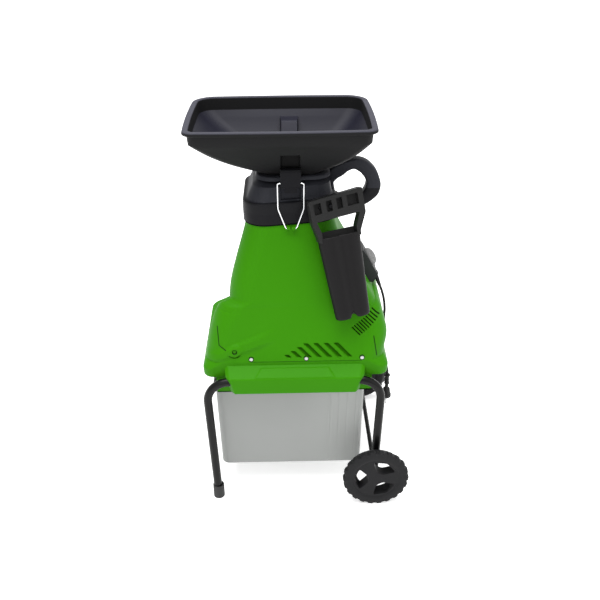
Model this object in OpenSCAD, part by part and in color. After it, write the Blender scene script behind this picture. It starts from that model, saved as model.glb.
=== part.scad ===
// Garden shredder with a feed hopper, a knife disc, two tube loops on wheels and a slide-out chip bin.
// The floor is z = 0, +X points to the wheel end, -Y to the near side, and y = 0 is the mid plane.

/* [Frame] */
// Outside diameter of the frame tube
tube_d = 22; // [18:0.5:26]
// Wall of the frame tube
tube_wall = 1.5; // [1:0.1:2.5]
// Distance between the axes of the two tube loops
frame_span = 414; // [408:1:424]
// Height of the tube's top run, on its axis
frame_top = 375; // [370:1:378]
// Bend radius of the tube, on its axis
bend_r = 57; // [45:1:70]
// X of the foot legs at the floor
foot_x = -240; // [-250:1:-235]
// How far the legs lean out, in degrees
leg_lean = 2.1; // [0:0.1:3]
// Diameter of a foot cap
foot_cap_d = 30; // [27:0.5:36]
// Height of a foot cap
foot_cap_h = 40; // [30:1:55]

/* [Wheels] */
// Wheel diameter
wheel_d = 175; // [150:1:190]
// Width of the tread
wheel_w = 35; // [28:1:38]
// X of the axle
axle_x = 184.5; // [178:0.5:190]
// Axle diameter
axle_d = 12; // [8:0.5:14]
// Hub diameter
hub_d = 36; // [28:1:44]
// Inside diameter of the wheel rim
wheel_rim_d = 128; // [115:1:135]
// Number of tread lugs
lug_count = 20; // [12:1:28]
// Thickness of the spacer between leg and wheel
spacer_t = 3; // [2:0.5:5]

/* [Housing] */
// Wall of the moulded housings
wall = 3; // [2:0.25:4]
// Lower edge of the base housing
skirt_z = 385; // [383:0.5:390]
// Joint between base housing and trunk
trunk_z = 422; // [418:1:426]
// Upper edge of the trunk
trunk_top_z = 800; // [790:1:806]
// X of the housing's foot end, at the base
base_left = -262; // [-268:1:-256]
// X of the housing's wheel end, at the base
base_right = 213; // [208:1:218]
// Gap between the housing's sides and the frame tubes
side_gap = 6; // [4:0.5:8]
// X of the trunk's foot side at its top
top_left = -143; // [-148:1:-138]
// X of the trunk's wheel side at its top
top_right = 74; // [70:1:80]
// Half depth of the trunk's foot side at its top
top_y_left = 122; // [117:1:126]
// Half depth of the trunk's wheel side at its top
top_y_right = 82; // [78:1:90]

/* [Apron] */
// Length of an apron at its upper edge
apron_w = 362; // [340:1:370]
// Centre of the aprons
apron_x = -27; // [-34:1:-20]
// Upper edge of an apron
apron_top_z = 412; // [408:1:416]
// Fold of an apron
apron_fold_z = 391; // [389:0.5:394]
// Lower edge of an apron
apron_low_z = 347; // [344:1:352]
// Gap between an apron's outside and the frame tube behind it
apron_gap = 4; // [3.5:0.5:8]
// Sheet thickness of an apron
apron_t = 2.5; // [2:0.25:3]

/* [Collar] */
// Lower edge of the collar
collar_z = 763; // [756:1:772]
// Step between the collar's upright band and its slope
collar_step_z = 817; // [810:1:824]
// Top of the collar
collar_top_z = 874; // [870:1:878]
// Width of the carry handle across the machine
handle_t = 34; // [26:1:42]

/* [Hopper] */
// Height of the hopper's rim above the floor
rim_z = 1005; // [980:1:1030]
// Length of the rim
hopper_w = 438; // [410:1:450]
// Depth of the rim
hopper_d = 330; // [310:1:345]
// Centre of the rim
hopper_x = -53; // [-60:1:-48]
// Height of the upright band under the rim
band_h = 34; // [26:1:42]
// How far the rim's lip stands out from the band
lip_w = 12; // [8:0.5:14]
// Length of the neck
neck_w = 146; // [136:1:150]
// Depth of the neck
neck_d = 130; // [120:1:134]
// Centre of the neck
neck_x = -30; // [-34:1:-26]
// How deep the neck reaches into the collar
spigot_h = 34; // [26:1:40]

/* [Bin] */
// Length of the bin at its floor
bin_w = 380; // [360:1:386]
// Length of the bin at its top
bin_top_w = 392; // [385:1:404]
// Gap between the bin's flange and a rail
bin_gap = 10; // [6:0.5:12]
// How much each of the bin's long sides leans in towards its floor
bin_lean = 4; // [0:0.5:8]
// Centre of the bin
bin_x = -40; // [-46:1:-38]
// Height of the bin's floor above the ground
bin_z = 72; // [62:1:90]
// Wall of the bin
bin_wall = 2.5; // [2:0.25:3.5]

/* [Cutter] */
// X of the motor and disc axis
motor_x = 45; // [42:0.5:48]
// Diameter of the knife disc
disc_d = 250; // [230:1:256]
// Thickness of the knife disc
disc_t = 8; // [6:0.5:10]
// Shaft diameter
shaft_d = 14; // [12:0.5:16]
// Outside diameter of a bearing
bearing_d = 35; // [30:0.5:40]
// Width of a bearing
bearing_w = 11; // [9:0.5:13]
// Outside diameter of the motor
motor_d = 104; // [98:1:106]
// Length of the motor can
motor_l = 138; // [128:1:150]
// Upper face of the deck plate
deck_z = 461; // [458:0.5:466]
// Thickness of the deck plate
deck_t = 6; // [5:0.5:8]
// Length of the feed opening in the deck
feed_w = 70; // [60:1:74]
// Depth of the feed opening in the deck
feed_d = 100; // [80:1:110]
// Centre of the feed opening
feed_x = -51; // [-56:1:-48]

/* [Latches] */
// Centre of the latches
latch_x = -31; // [-33:0.5:-29]
// Wire diameter of a bail
wire_d = 3.5; // [3:0.25:4.5]
// Height of a bail's pivot
pivot_z = 757; // [752:1:760]
// Distance of a bail's pivot from the mid plane
pivot_y = 121; // [119:0.5:124]
// Height of the bar that a latch lever turns on
bar_z = 867; // [864:1:870]
// Distance of that bar from the mid plane
bar_y = 110; // [108:0.5:113]
// Width of a latch lever
lever_w = 48; // [42:1:52]

/* [Plunger] */
// Length of the plunger's hollow body
plunger_l = 206; // [180:1:215]
// Width of the body at its top
plunger_w = 106; // [98:1:108]
// Depth of the body at its top
plunger_t = 46; // [38:1:48]
// Reach of the grip to the left of the body's middle
grip_left = 61; // [57:0.5:61.5]
// Reach of the grip to the right of the body's middle
grip_right = 73; // [66:0.5:78]
// Height of the grip above the body
grip_h = 98; // [90:1:104]
// Diameter of the pegs that the plunger hangs on
peg_d = 10; // [8:0.5:12]

/* [Switch and lead] */
// Depth of the switch box across the machine
switch_w = 62; // [54:1:70]
// Diameter of the switch knob
knob_d = 48; // [42:1:52]
// Lead diameter
cord_d = 7; // [6:0.5:8]
// Length of the plug's body
plug_l = 76; // [70:1:82]
// Diameter of the plug's face
plug_d = 27; // [26:0.5:32]
// Diameter of a plug pin
pin_d = 4.8; // [4:0.1:5]
// Distance between the plug pins
pin_pitch = 19; // [18:0.5:20]

/* [Clearances] */
// Radial clearance of a running fit
run_fit = 0.05; // [0.02:0.01:0.1]
// Clearance between pieces that stay put
seat_gap = 0.3; // [0.2:0.05:0.5]

/* [Hidden] */
$fn = 64;

green = [0.26, 0.58, 0.03];
black = [0.18, 0.18, 0.2];
dark_grey = [0.26, 0.26, 0.27];
light_grey = [0.62, 0.62, 0.62];
clear_grey = [0.66, 0.67, 0.66];
steel = [0.72, 0.73, 0.75];

// Sizes that follow the tube loops
frame_y = frame_span / 2;
base_y = frame_y - tube_d / 2 - side_gap;
apron_y = frame_y + tube_d / 2 + apron_gap;

// Plan outlines and skins

// A point between two lists of numbers
function mix(a, b, t) = a + (b - a) * t;

// Arc of a circle as points
function arc(cx, cy, r, a0, a1, n) =
    [for (i = [0:n]) let (a = mix(a0, a1, i / n)) [cx + r * cos(a), cy + r * sin(a)]];

corner_steps = 7;

// Rounded four-sided outline from s = [xl, xr, yl, yr, r]; yl and yr are its half depths at xl and xr
// A sixth number is the radius of the far corners, if they differ
function far_corner(s) = len(s) > 5 ? s[5] : s[4];
function outline(s) = let (
    xl = s[0], xr = s[1], r = s[4], f = far_corner(s),
    lean = atan2(s[2] - s[3], xr - xl),
    y_left = [for (q = [r, f]) s[2] - (q + q * sin(lean)) / cos(lean)],
    y_right = [for (q = [r, f]) s[2] - (q + (xr - xl - q) * sin(lean)) / cos(lean)])
    concat(
        arc(xl + r, -y_left[0], r, 180, 270 + lean, corner_steps),
        arc(xr - r, -y_right[0], r, -90 + lean, 0, corner_steps),
        arc(xr - f, y_right[1], f, 0, 90 - lean, corner_steps),
        arc(xl + f, y_left[1], f, 90 - lean, 180, corner_steps));

// The same outline moved in, or out, by d
function inset(s, d) =
    [s[0] + d, s[1] - d, s[2] - d, s[3] - d, max(s[4] - d, 2), max(far_corner(s) - d, 2)];
function grown(s, d) = inset(s, -d);

function ring(z, s) = [for (p = outline(s)) [p[0], p[1], z]];

// Closed surface through rings of equal length, with end faces or, if looped, joined end to start
module skin(rings, looped = false) {
    n = len(rings[0]);
    m = len(rings);
    points = [for (r = rings) each r];
    spans = looped ? m : m - 1;
    sides = [for (j = [0:spans - 1], i = [0:n - 1]) let (
        a = j * n + i, b = j * n + (i + 1) % n,
        c = ((j + 1) % m) * n + (i + 1) % n, d = ((j + 1) % m) * n + i) each [[a, c, b], [a, d, c]]];
    ends = looped ? [] : [[for (i = [0:n - 1]) i], [for (i = [n - 1:-1:0]) (m - 1) * n + i]];
    polyhedron(points = points, faces = concat(sides, ends), convexity = 8);
}

// Wall between two sets of rings that rise together, open above and below
module shell(outer, inner) {
    skin(concat(outer, [for (k = [len(inner) - 1:-1:0]) inner[k]]), looped = true);
}

// Wall of thickness t through levels [z, outline]
module wall_of(levels, t) {
    shell([for (l = levels) ring(l[0], l[1])], [for (l = levels) ring(l[0], inset(l[1], t))]);
}

module mirrored_y() {
    children();
    mirror([0, 1, 0]) children();
}

// Box from its lowest to its highest corner
module box(low, high) {
    translate(low) cube(high - low);
}

// Cylinder along Y from y0 to y1
module rod_y(x, y0, y1, z, d) {
    translate([x, y0, z]) rotate([-90, 0, 0]) cylinder(d = d, h = y1 - y0);
}

// Ring along Z
module ring_z(z0, z1, d_out, d_in) {
    translate([0, 0, z0]) difference() {
        cylinder(d = d_out, h = z1 - z0);
        translate([0, 0, -1]) cylinder(d = d_in, h = z1 - z0 + 2);
    }
}

// Housings

base_near_corner = 27;
base_far_corner = 52;
base_outline = [base_left, base_right, base_y, base_y, base_near_corner, base_far_corner];
trunk_top_outline = [top_left, top_right, top_y_left, top_y_right, 48];

// The trunk's outline where its slopes would meet the base, without the shoulders
waist_outline = [base_left + 70, base_right - 23, base_y, base_y, 70];
shoulder_z = trunk_z + 126;
shoulder_drop = 104;

// Share of the shoulder left at height z: full at the base, rounded over and gone at the top
function shoulder(z) = z >= shoulder_z ? 0 : sqrt(1 - pow(max(0, 1 - (shoulder_z - z) / shoulder_drop), 2));

// The motor side swells between the base and its shoulder, and draws in where it meets the base
swell_z = trunk_z + 54;
swell_h = 40;
function swell(z) = -13 + 12 * exp(-pow((z - swell_z) / swell_h, 2));

// The motor side stands upright at the top and slopes out below a soft knee
knee_z = trunk_top_z - 60;
knee_slope = 0.56;
knee_soft = 25;
function soft_rise(v) = (v + sqrt(v * v + knee_soft * knee_soft)) / 2;
function motor_side(z) = min(waist_outline[1], top_right + knee_slope * soft_rise(knee_z - z));

// The foot side has a shoulder of its own, the hip, and slopes in to the collar above a soft bend
hip_z = trunk_z + 154;
hip_curve = 0.4;
function hip(z) = pow(max(0, min(1, (hip_z - z) / (hip_z - skirt_z))), hip_curve);
foot_slope = 0.3;
foot_bend = 10;
foot_top_z = collar_z - 6;
function foot_plain(z) = let (
    v = top_left - waist_outline[0] - 0.5 - foot_slope * max(0, foot_top_z - z))
    waist_outline[0] + (v + sqrt(v * v + foot_bend * foot_bend)) / 2;

// The foot side with share k of the hip
function foot_side(z, k) = mix(foot_plain(z), base_left + 1, k);

// Outline of the trunk at height z
function rise(z) = (z - trunk_z) / (trunk_top_z - trunk_z);
function trunk_outline(z) = let (
    t = rise(z),
    front = mix(waist_outline, trunk_top_outline, t),
    k = shoulder(z),
    right = mix(motor_side(z), base_right + swell(z), k))
    [foot_side(z, hip(z)), right, front[2], front[3] - 6 * sin(180 * t), mix(front[4], 52, k)];

// The hip sinks towards the far side, and the far half above it leans in
sink_y = -125;
sink_slope = 0.62;
sink_max = hip_z - trunk_z;
lean_y = -80;
lean_in = 0.1;
function lean_share(z) = max(0, min(1, (collar_z - z) / 40, (z - trunk_z - 18) / 120));
function sunk(y) = min(sink_max, sink_slope * max(0, y - sink_y));

// Ring of the trunk at height z, moved out by d, with its foot end drawn in where the hip has sunk
function trunk_ring(z, d = 0) = let (
    s = trunk_outline(z),
    middle = (s[0] + s[1]) / 2)
    [for (p = outline(grown(s, d))) let (
        share = max(0, (middle - p[0]) / (middle - s[0] + d)),
        lean = lean_in * lean_share(z) * max(0, p[1] - lean_y),
        draw = foot_side(z, hip(z + sunk(p[1]))) - s[0] + lean)
        [p[0] + draw * pow(share, 6), p[1], z]];

trunk_heights = concat(
    [trunk_z],
    [for (i = [1:9]) mix(trunk_z, shoulder_z, i / 9.4)],
    [shoulder_z - 1, shoulder_z + 6, hip_z - 9, hip_z - 3, hip_z + 1],
    [for (i = [1:5]) mix(hip_z + 1, collar_z, i / 5)],
    [trunk_top_z]);

module trunk_housing() {
    color(green) difference() {
        union() {
            shell([for (z = trunk_heights) trunk_ring(z)], [for (z = trunk_heights) trunk_ring(z, -wall)]);
            mirrored_y() bail_lugs();
        }
        mirrored_y() {
            wire_bore(pivot_y, pivot_z);
            housing_screw_cuts();
            boss_screw_cut();
        }
        louvre_cuts();
        vent_cuts();
    }
}

// Slanted louvres low on the near face, shorter towards the foot end
louvre_count = 7;
louvre_pitch = 25.5;
louvre_w = 12;
louvre_x = -47;
louvre_low_z = trunk_z + 10;
louvre_h = 35;
module louvre_cuts() {
    for (i = [0:louvre_count - 1]) {
        h = min(louvre_h, 7 + i * 9.3);
        translate([louvre_x + i * louvre_pitch, -base_y - 5, louvre_low_z])
            rotate([90, 0, 0])
            linear_extrude(height = 40, center = true)
            polygon([[0, 0], [louvre_w, 0], [louvre_w - h, h], [-h, h]]);
    }
}

// Row of narrow slanted vents round the near corner of the motor side
vent_count = 10;
vent_l = 27;
vent_w = 2.4;
vent_reach = 60;
vent_slant = 45;
vent_x = base_right - 85;
vent_z = trunk_z + 73;
vent_step = [5.65, 4.35];
module vent_cuts() {
    for (i = [0:vent_count - 1])
        translate([vent_x + vent_step[0] * i, -base_y, vent_z + vent_step[1] * i]) rotate([0, vent_slant, 0])
            cube([vent_l, 2 * vent_reach, vent_w], center = true);
}

// Base housing: open skirt, aprons over the tube runs, rails for the bin and posts for the deck
rail_out_y = base_y - wall - 1;
rail_t = 4;
rail_z = apron_low_z - 17;
rail_foot_w = 17;
rail_foot_t = 3;
rail_x0 = foot_x + 12;
rail_x1 = bin_x + bin_top_w / 2 + 14;
ledge_h = 22;
post_d = 20;
post_x = [-160, 150];
post_y = 140;
bolt_d = 6;

module base_housing() {
    color(green) difference() {
        union() {
            shell(
                [ring(skirt_z, inset(base_outline, 2)), ring(skirt_z + 5, base_outline),
                    ring(trunk_z - ledge_h, base_outline), trunk_ring(trunk_z)],
                [ring(skirt_z, inset(base_outline, 2 + wall)), ring(skirt_z + 5, inset(base_outline, wall)),
                    ring(trunk_z - ledge_h, inset(base_outline, wall)), trunk_ring(trunk_z, -wall)]);
            mirrored_y() {
                apron();
                rail();
                for (x = post_x) post(x);
            }
        }
        mirrored_y() clamp_screw_bores();
        mirrored_y() for (x = post_x)
            translate([x, -post_y, deck_z - deck_t - 30]) cylinder(d = bolt_d, h = 40);
    }
}

apron_slant = 18;
module apron() {
    y0 = base_y - 1;
    intersection() {
        translate([apron_x, 0, 0]) rotate([90, 0, 90]) linear_extrude(height = apron_w, center = true)
            polygon([[-y0, apron_top_z], [-apron_y, apron_fold_z], [-apron_y, apron_low_z],
                [-apron_y + apron_t, apron_low_z], [-apron_y + apron_t, apron_fold_z - apron_t],
                [-y0, apron_top_z - 2 * apron_t]]);
        translate([apron_x, -apron_y + 60, 0]) rotate([90, 0, 0]) linear_extrude(height = 120)
            polygon([[-apron_w / 2, apron_top_z], [apron_w / 2, apron_top_z],
                [apron_w / 2 - apron_slant, apron_low_z], [-apron_w / 2 + apron_slant, apron_low_z]]);
    }
}

module rail() {
    box([rail_x0, -rail_out_y, rail_z], [rail_x1, -rail_out_y + rail_t, skirt_z + 12]);
    box([rail_x0, -rail_out_y, rail_z], [rail_x1, -rail_out_y + rail_foot_w, rail_z + rail_foot_t]);
}

module post(x) {
    translate([x, -post_y, skirt_z + 6]) cylinder(d = post_d, h = deck_z - deck_t - skirt_z - 6);
    box([x - 2, -base_y + 1, skirt_z + 6], [x + 2, -post_y, trunk_z - 14]);
}

// Collar with the carry handle and the pegs for the plunger

collar_grow = 3.4;
sleeve_gap = 1.2;
slope_in = 3;
collar_top_outline = [neck_x - neck_w / 2 - 9, neck_x + neck_w / 2 + 20, 88, 74, 40];
neck_gap = 2;
neck_hole = [neck_x - neck_w / 2 - neck_gap, neck_x + neck_w / 2 + neck_gap,
    neck_d / 2 + neck_gap, neck_d / 2 + neck_gap, 32];

module collar() {
    seat = trunk_outline(trunk_top_z);
    color(black) union() {
        skin([
            ring(collar_z, grown(trunk_outline(collar_z), collar_grow)),
            ring(collar_step_z, grown(seat, collar_grow + 1)),
            ring(collar_step_z + 1, inset(seat, slope_in)),
            ring(collar_top_z - 5, grown(collar_top_outline, 3)),
            ring(collar_top_z, collar_top_outline),
            ring(collar_top_z, neck_hole),
            ring(collar_top_z - 4, neck_hole),
            ring(collar_top_z - 5, inset(collar_top_outline, 1)),
            ring(collar_step_z - wall, inset(seat, slope_in + wall)),
            ring(trunk_top_z + seat_gap, inset(seat, wall - 1)),
            ring(trunk_top_z + seat_gap, grown(seat, sleeve_gap)),
            ring(collar_z, grown(trunk_outline(collar_z), sleeve_gap))], looped = true);
        carry_handle();
        for (p = peg_places) rod_y(p[0], peg_end_y, peg_root_y, p[1], peg_d);
    }
}

// Side view of the handle: its outer edge and its finger hole
handle_outer = [[54, 846], [66, 868], [104, 887], [134, 894], [160, 886], [183, 862], [196, 826],
    [190, 798], [158, 772], [120, 765], [80, 770]];
handle_hole = [[76, 834], [99, 850], [121, 866], [131, 865], [151, 847], [158, 830], [150, 806], [128, 797],
    [80, 802]];
handle_round = 9;
module carry_handle() {
    shift = top_right - 74;
    difference() {
        translate([shift, 0, 0]) rotate([90, 0, 0])
            linear_extrude(height = handle_t, center = true) difference() {
                offset(r = handle_round, $fn = 32) offset(delta = -handle_round) polygon(handle_outer);
                offset(r = -handle_round / 2, $fn = 32) offset(delta = handle_round / 2) polygon(handle_hole);
            }
        skin([for (z = [collar_z - 10, collar_step_z, collar_step_z + 1, collar_top_z - 5, collar_top_z + 5])
            ring(z, handle_root_outline(z))]);
    }
}

// The handle ends within the collar's wall, clear of the trunk below the step
function handle_root_outline(z) = z <= collar_step_z
    ? grown(trunk_outline(min(z, trunk_top_z)), (sleeve_gap + collar_grow) / 2)
    : inset(mix(trunk_outline(trunk_top_z), collar_top_outline,
        min(1, (z - collar_step_z) / (collar_top_z - 5 - collar_step_z))), 1.5);

// Hopper

funnel_z = collar_top_z + seat_gap;
neck_outline = [neck_x - neck_w / 2, neck_x + neck_w / 2, neck_d / 2, neck_d / 2, 30];
rim_outline = [hopper_x - hopper_w / 2, hopper_x + hopper_w / 2, hopper_d / 2, hopper_d / 2, 52];
band_outline = inset(rim_outline, lip_w);
funnel_foot = grown(neck_outline, 6);
hopper_wall = 3;
band_z = rim_z - band_h;

// The funnel's wall leans out evenly and stands up where it meets the band
funnel_levels = [for (i = [0:6]) let (t = i / 6)
    [mix(funnel_z + 3, band_z, 1 - pow(1 - t, 0.9)), mix(funnel_foot, band_outline, pow(t, 0.92))]];

module hopper() {
    outer = concat([[funnel_z - spigot_h, neck_outline], [funnel_z, neck_outline], [funnel_z, funnel_foot]],
        funnel_levels, [[rim_z - 9, inset(band_outline, -2)]]);
    color(dark_grey) difference() {
        union() {
            skin(concat(
                [for (l = outer) ring(l[0], l[1])],
                [ring(rim_z - 7, rim_outline), ring(rim_z, inset(rim_outline, 1))],
                [ring(rim_z, inset(band_outline, 2))],
                [for (k = [len(funnel_levels) - 1:-1:0])
                    ring(funnel_levels[k][0] + hopper_wall, inset(funnel_levels[k][1], hopper_wall))],
                [ring(funnel_z + 2, inset(neck_outline, hopper_wall)),
                    ring(funnel_z - spigot_h, inset(neck_outline, hopper_wall))]), looped = true);
            mirrored_y() latch_ledge();
            intersection() {
                mirrored_y() recess_block(hopper_wall, recess_y - hopper_wall, bump_top);
                skin([for (l = funnel_levels) ring(l[0], l[1])]);
            }
        }
        mirrored_y() recess_block(0, recess_y);
    }
}

// Upright recess in the hopper's wall above a latch, which shows inside as a block
recess_y = 102;
recess_w = 34;
recess_z0 = funnel_z + 32;
recess_z1 = funnel_z + 68;
bump_top = 12;
module recess_block(t, y, top = 0) {
    half = recess_w / 2 + t;
    box([latch_x - half, -hopper_d / 2, recess_z0 - t], [latch_x + half, -y, recess_z1 + t + top]);
}

// Ledge on the hopper that a latch lever hooks over, between two cheeks
ledge_z = funnel_z + 19;
ledge_y = 99;
ledge_in_y = 70;
module latch_ledge() {
    half = lever_w / 2 - 2;
    box([latch_x - half, -ledge_y, ledge_z - 6.5], [latch_x + half, -ledge_in_y, ledge_z]);
}

// Feed chute, deck and motor

chute_wall = 3;
function chute_outline(w, d, x) = [x - w / 2, x + w / 2, d / 2, d / 2, 14];
chute_top_z = funnel_z - spigot_h - 2;
chute_waist_z = deck_z + motor_l + 50;
module feed_chute() {
    shaft = chute_outline(feed_w + 2 * chute_wall, feed_d + 2 * chute_wall, feed_x);
    mouth = chute_outline(neck_w + 2, neck_d + 2, neck_x);
    color(black) wall_of([[deck_z, shaft], [chute_waist_z, shaft], [chute_top_z, mouth]], chute_wall);
}

deck_left = -176;
deck_right = 168;
deck_half = 158;
module deck_plate() {
    color(steel) difference() {
        translate([0, 0, deck_z - deck_t]) linear_extrude(height = deck_t) difference() {
            polygon(outline([deck_left, deck_right, deck_half, deck_half, 24]));
            translate([feed_x, 0]) square([feed_w, feed_d], center = true);
        }
        translate([motor_x, 0, deck_z - deck_t - 1]) cylinder(d = bearing_d - 6, h = deck_t + 2);
        for (x = post_x, y = [-post_y, post_y])
            translate([x, y, deck_z - deck_t - 1]) cylinder(d = bolt_d + 2 * seat_gap, h = deck_t + 2);
        motor_bolt_places() translate([0, 0, deck_z - deck_t - 1]) cylinder(d = bolt_d, h = deck_t + 2);
    }
}

// Hexagon-head bolt, head face at z = 0, shank downwards
module bolt_down(l) {
    cylinder(d = 2 * bolt_d * 0.9, h = 4, $fn = 6);
    translate([0, 0, -l]) cylinder(d = bolt_d - 2 * run_fit, h = l);
}

module deck_bolts() {
    color(steel) for (x = post_x, y = [-post_y, post_y]) translate([x, y, deck_z]) bolt_down(26);
}

motor_ear_r = motor_d / 2 + 9;
module motor_bolt_places() {
    for (a = [45:90:315]) translate([motor_x + motor_ear_r * cos(a), motor_ear_r * sin(a), 0]) children();
}

can_wall = 3;
can_floor = bearing_w + 3;
motor_top_z = deck_z + motor_l;
module motor_can() {
    color(dark_grey) difference() {
        union() {
            translate([motor_x, 0, deck_z]) cylinder(d = motor_d, h = motor_l);
            motor_bolt_places() translate([0, 0, deck_z]) cylinder(d = 18, h = 8);
        }
        translate([motor_x, 0, deck_z + can_floor]) cylinder(d = motor_d - 2 * can_wall, h = motor_l);
        translate([motor_x, 0, deck_z + 3]) cylinder(d = bearing_d + 2 * run_fit, h = can_floor);
        translate([motor_x, 0, deck_z - 1]) cylinder(d = shaft_d + 4, h = can_floor);
        motor_bolt_places() translate([0, 0, deck_z - 1]) cylinder(d = bolt_d + 2 * seat_gap, h = 10);
    }
}

module motor_bolts() {
    color(steel) motor_bolt_places() translate([0, 0, deck_z + 8]) bolt_down(8 + deck_t);
}

cap_h = bearing_w + 9;
module motor_end_cap() {
    color(black) translate([motor_x, 0, motor_top_z]) difference() {
        union() {
            cylinder(d = motor_d, h = 5);
            cylinder(d = bearing_d + 12, h = cap_h);
        }
        translate([0, 0, -1]) cylinder(d = bearing_d + 2 * run_fit, h = bearing_w + 5);
        for (a = [0:45:315]) rotate([0, 0, a]) translate([motor_d / 2 - 15, 0, -1]) cylinder(d = 10, h = 8);
    }
}

module bearing(z) {
    translate([motor_x, 0, 0]) ring_z(z, z + bearing_w, bearing_d, shaft_d + 2 * run_fit);
}

lower_bearing_z = deck_z + 3;
upper_bearing_z = motor_top_z + 4;
module lower_bearing() {
    color(steel) bearing(lower_bearing_z);
}
module upper_bearing() {
    color(steel) bearing(upper_bearing_z);
}

core_z0 = deck_z + 32;
core_z1 = motor_top_z - 26;
rotor_d = 56;
air_gap = 1;
module stator_core() {
    color(steel) translate([motor_x, 0, 0])
        ring_z(core_z0 - 6, core_z1 + 6, motor_d - 2 * can_wall - 2 * run_fit, rotor_d + 2 * air_gap);
}

disc_z = deck_z - deck_t - 9 - disc_t;
nut_h = 10;
shaft_z0 = disc_z - nut_h - 3;
module rotor_shaft() {
    color(steel) translate([motor_x, 0, shaft_z0])
        cylinder(d = shaft_d, h = upper_bearing_z + bearing_w - shaft_z0);
}

press = 0.01;
module rotor_core() {
    color(steel) translate([motor_x, 0, 0]) ring_z(core_z0, core_z1, rotor_d, shaft_d + 2 * press);
}

fan_d = 78;
fan_z = motor_top_z - 18;
module cooling_fan() {
    color(black) translate([motor_x, 0, 0]) {
        ring_z(fan_z, fan_z + 14, 28, shaft_d + 2 * press);
        ring_z(fan_z, fan_z + 2, fan_d, 27);
        for (a = [0:36:324]) rotate([0, 0, a]) translate([13, -1, fan_z + 1]) cube([fan_d / 2 - 14, 2, 11]);
    }
}

// Knife disc, its two knives and their screws

blade_l = 62;
blade_w = 34;
blade_t = 5;
blade_edge = 10;
blade_r = disc_d / 2 - blade_edge - blade_l / 2;
blade_screw_d = 6;
blade_screw_x = [-18, 18];
module at_blades() {
    for (a = [90, 270])
        translate([motor_x, 0, disc_z]) rotate([0, 0, a]) translate([blade_r, 0, 0]) children();
}

module cutting_disc() {
    color(steel) difference() {
        translate([motor_x, 0, 0]) ring_z(disc_z, disc_z + disc_t, disc_d, shaft_d + 2 * press);
        at_blades() {
            translate([0, blade_w / 2 + 7, -1]) linear_extrude(height = disc_t + 2)
                square([blade_l, 12], center = true);
            for (x = blade_screw_x) translate([x, 0, -1])
                cylinder(d = blade_screw_d + 2 * press, h = disc_t + 2);
        }
    }
}

module knife_blades() {
    color(steel) at_blades() difference() {
        translate([-blade_l / 2, -blade_w / 2, disc_t]) rotate([90, 0, 90]) linear_extrude(height = blade_l)
            polygon([[0, 0], [blade_w, 0], [blade_w - 8, blade_t], [0, blade_t]]);
        for (x = blade_screw_x) translate([x, 0, disc_t - 1])
            cylinder(d = blade_screw_d + 2 * press, h = blade_t + 2);
    }
}

module blade_screws() {
    color(steel) at_blades() for (x = blade_screw_x) translate([x, 0, 0]) {
        translate([0, 0, -4]) cylinder(d = 10, h = 4);
        cylinder(d = blade_screw_d, h = disc_t + blade_t);
    }
}

module disc_nut() {
    color(steel) translate([motor_x, 0, disc_z - nut_h]) difference() {
        cylinder(d = 26, h = nut_h, $fn = 6);
        translate([0, 0, -1]) cylinder(d = shaft_d + 2 * press, h = nut_h + 2);
    }
}

// Frame

axle_z = wheel_d / 2;
foot_floor = 6;

// A leg leans out from where it stands, and a bend of 90 + leg_lean degrees leads into the top run
bend_reach = bend_r * tan((90 + leg_lean) / 2);
foot_leg_l = frame_top / cos(leg_lean) - bend_reach;
axle_leg_l = (frame_top - axle_z) / cos(leg_lean) - bend_reach;
run_x0 = foot_x - frame_top * tan(leg_lean) + bend_reach;
run_x1 = axle_x + (frame_top - axle_z) * tan(leg_lean) - bend_reach;
leg_end = 22;
bead_h = 0.3;
bead_w = 6;

module at_foot_leg() {
    translate([foot_x, 0, 0]) rotate([0, -leg_lean, 0]) children();
}
module at_axle_leg() {
    translate([axle_x, 0, axle_z]) rotate([0, leg_lean, 0]) children();
}
module bend(x, start, d) {
    translate([x, 0, frame_top - bend_r]) rotate([90, 0, 0]) rotate([0, 0, start])
        rotate_extrude(angle = 90 + leg_lean) translate([bend_r, 0]) circle(d = d);
}

// Weld bead where a straight part meets a bend
module bead(d) {
    cylinder(d = d + 2 * bead_h, h = bead_w, center = true);
}

// Rod or bore of diameter d along a whole loop
module loop_rod(d, extra = 0) {
    at_foot_leg() translate([0, 0, foot_floor - extra]) cylinder(d = d, h = foot_leg_l - foot_floor + extra);
    at_axle_leg() translate([0, 0, -leg_end - extra]) cylinder(d = d, h = axle_leg_l + leg_end + extra);
    translate([run_x0, 0, frame_top]) rotate([0, 90, 0]) cylinder(d = d, h = run_x1 - run_x0);
    bend(run_x0, 90, d);
    bend(run_x1, -leg_lean, d);
    at_foot_leg() translate([0, 0, foot_leg_l]) bead(d);
    at_axle_leg() translate([0, 0, axle_leg_l]) bead(d);
    for (x = [run_x0, run_x1]) translate([x, 0, frame_top]) rotate([0, 90, 0]) bead(d);
}

module frame_tube(y) {
    color(dark_grey) difference() {
        translate([0, y, 0]) loop_rod(tube_d);
        translate([0, y, 0]) loop_rod(tube_d - 2 * tube_wall, 1);
        rod_y(axle_x, y - tube_d, y + tube_d, axle_z, axle_d + 2 * run_fit);
    }
}
module near_frame_tube() {
    frame_tube(-frame_y);
}
module far_frame_tube() {
    frame_tube(frame_y);
}

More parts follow.
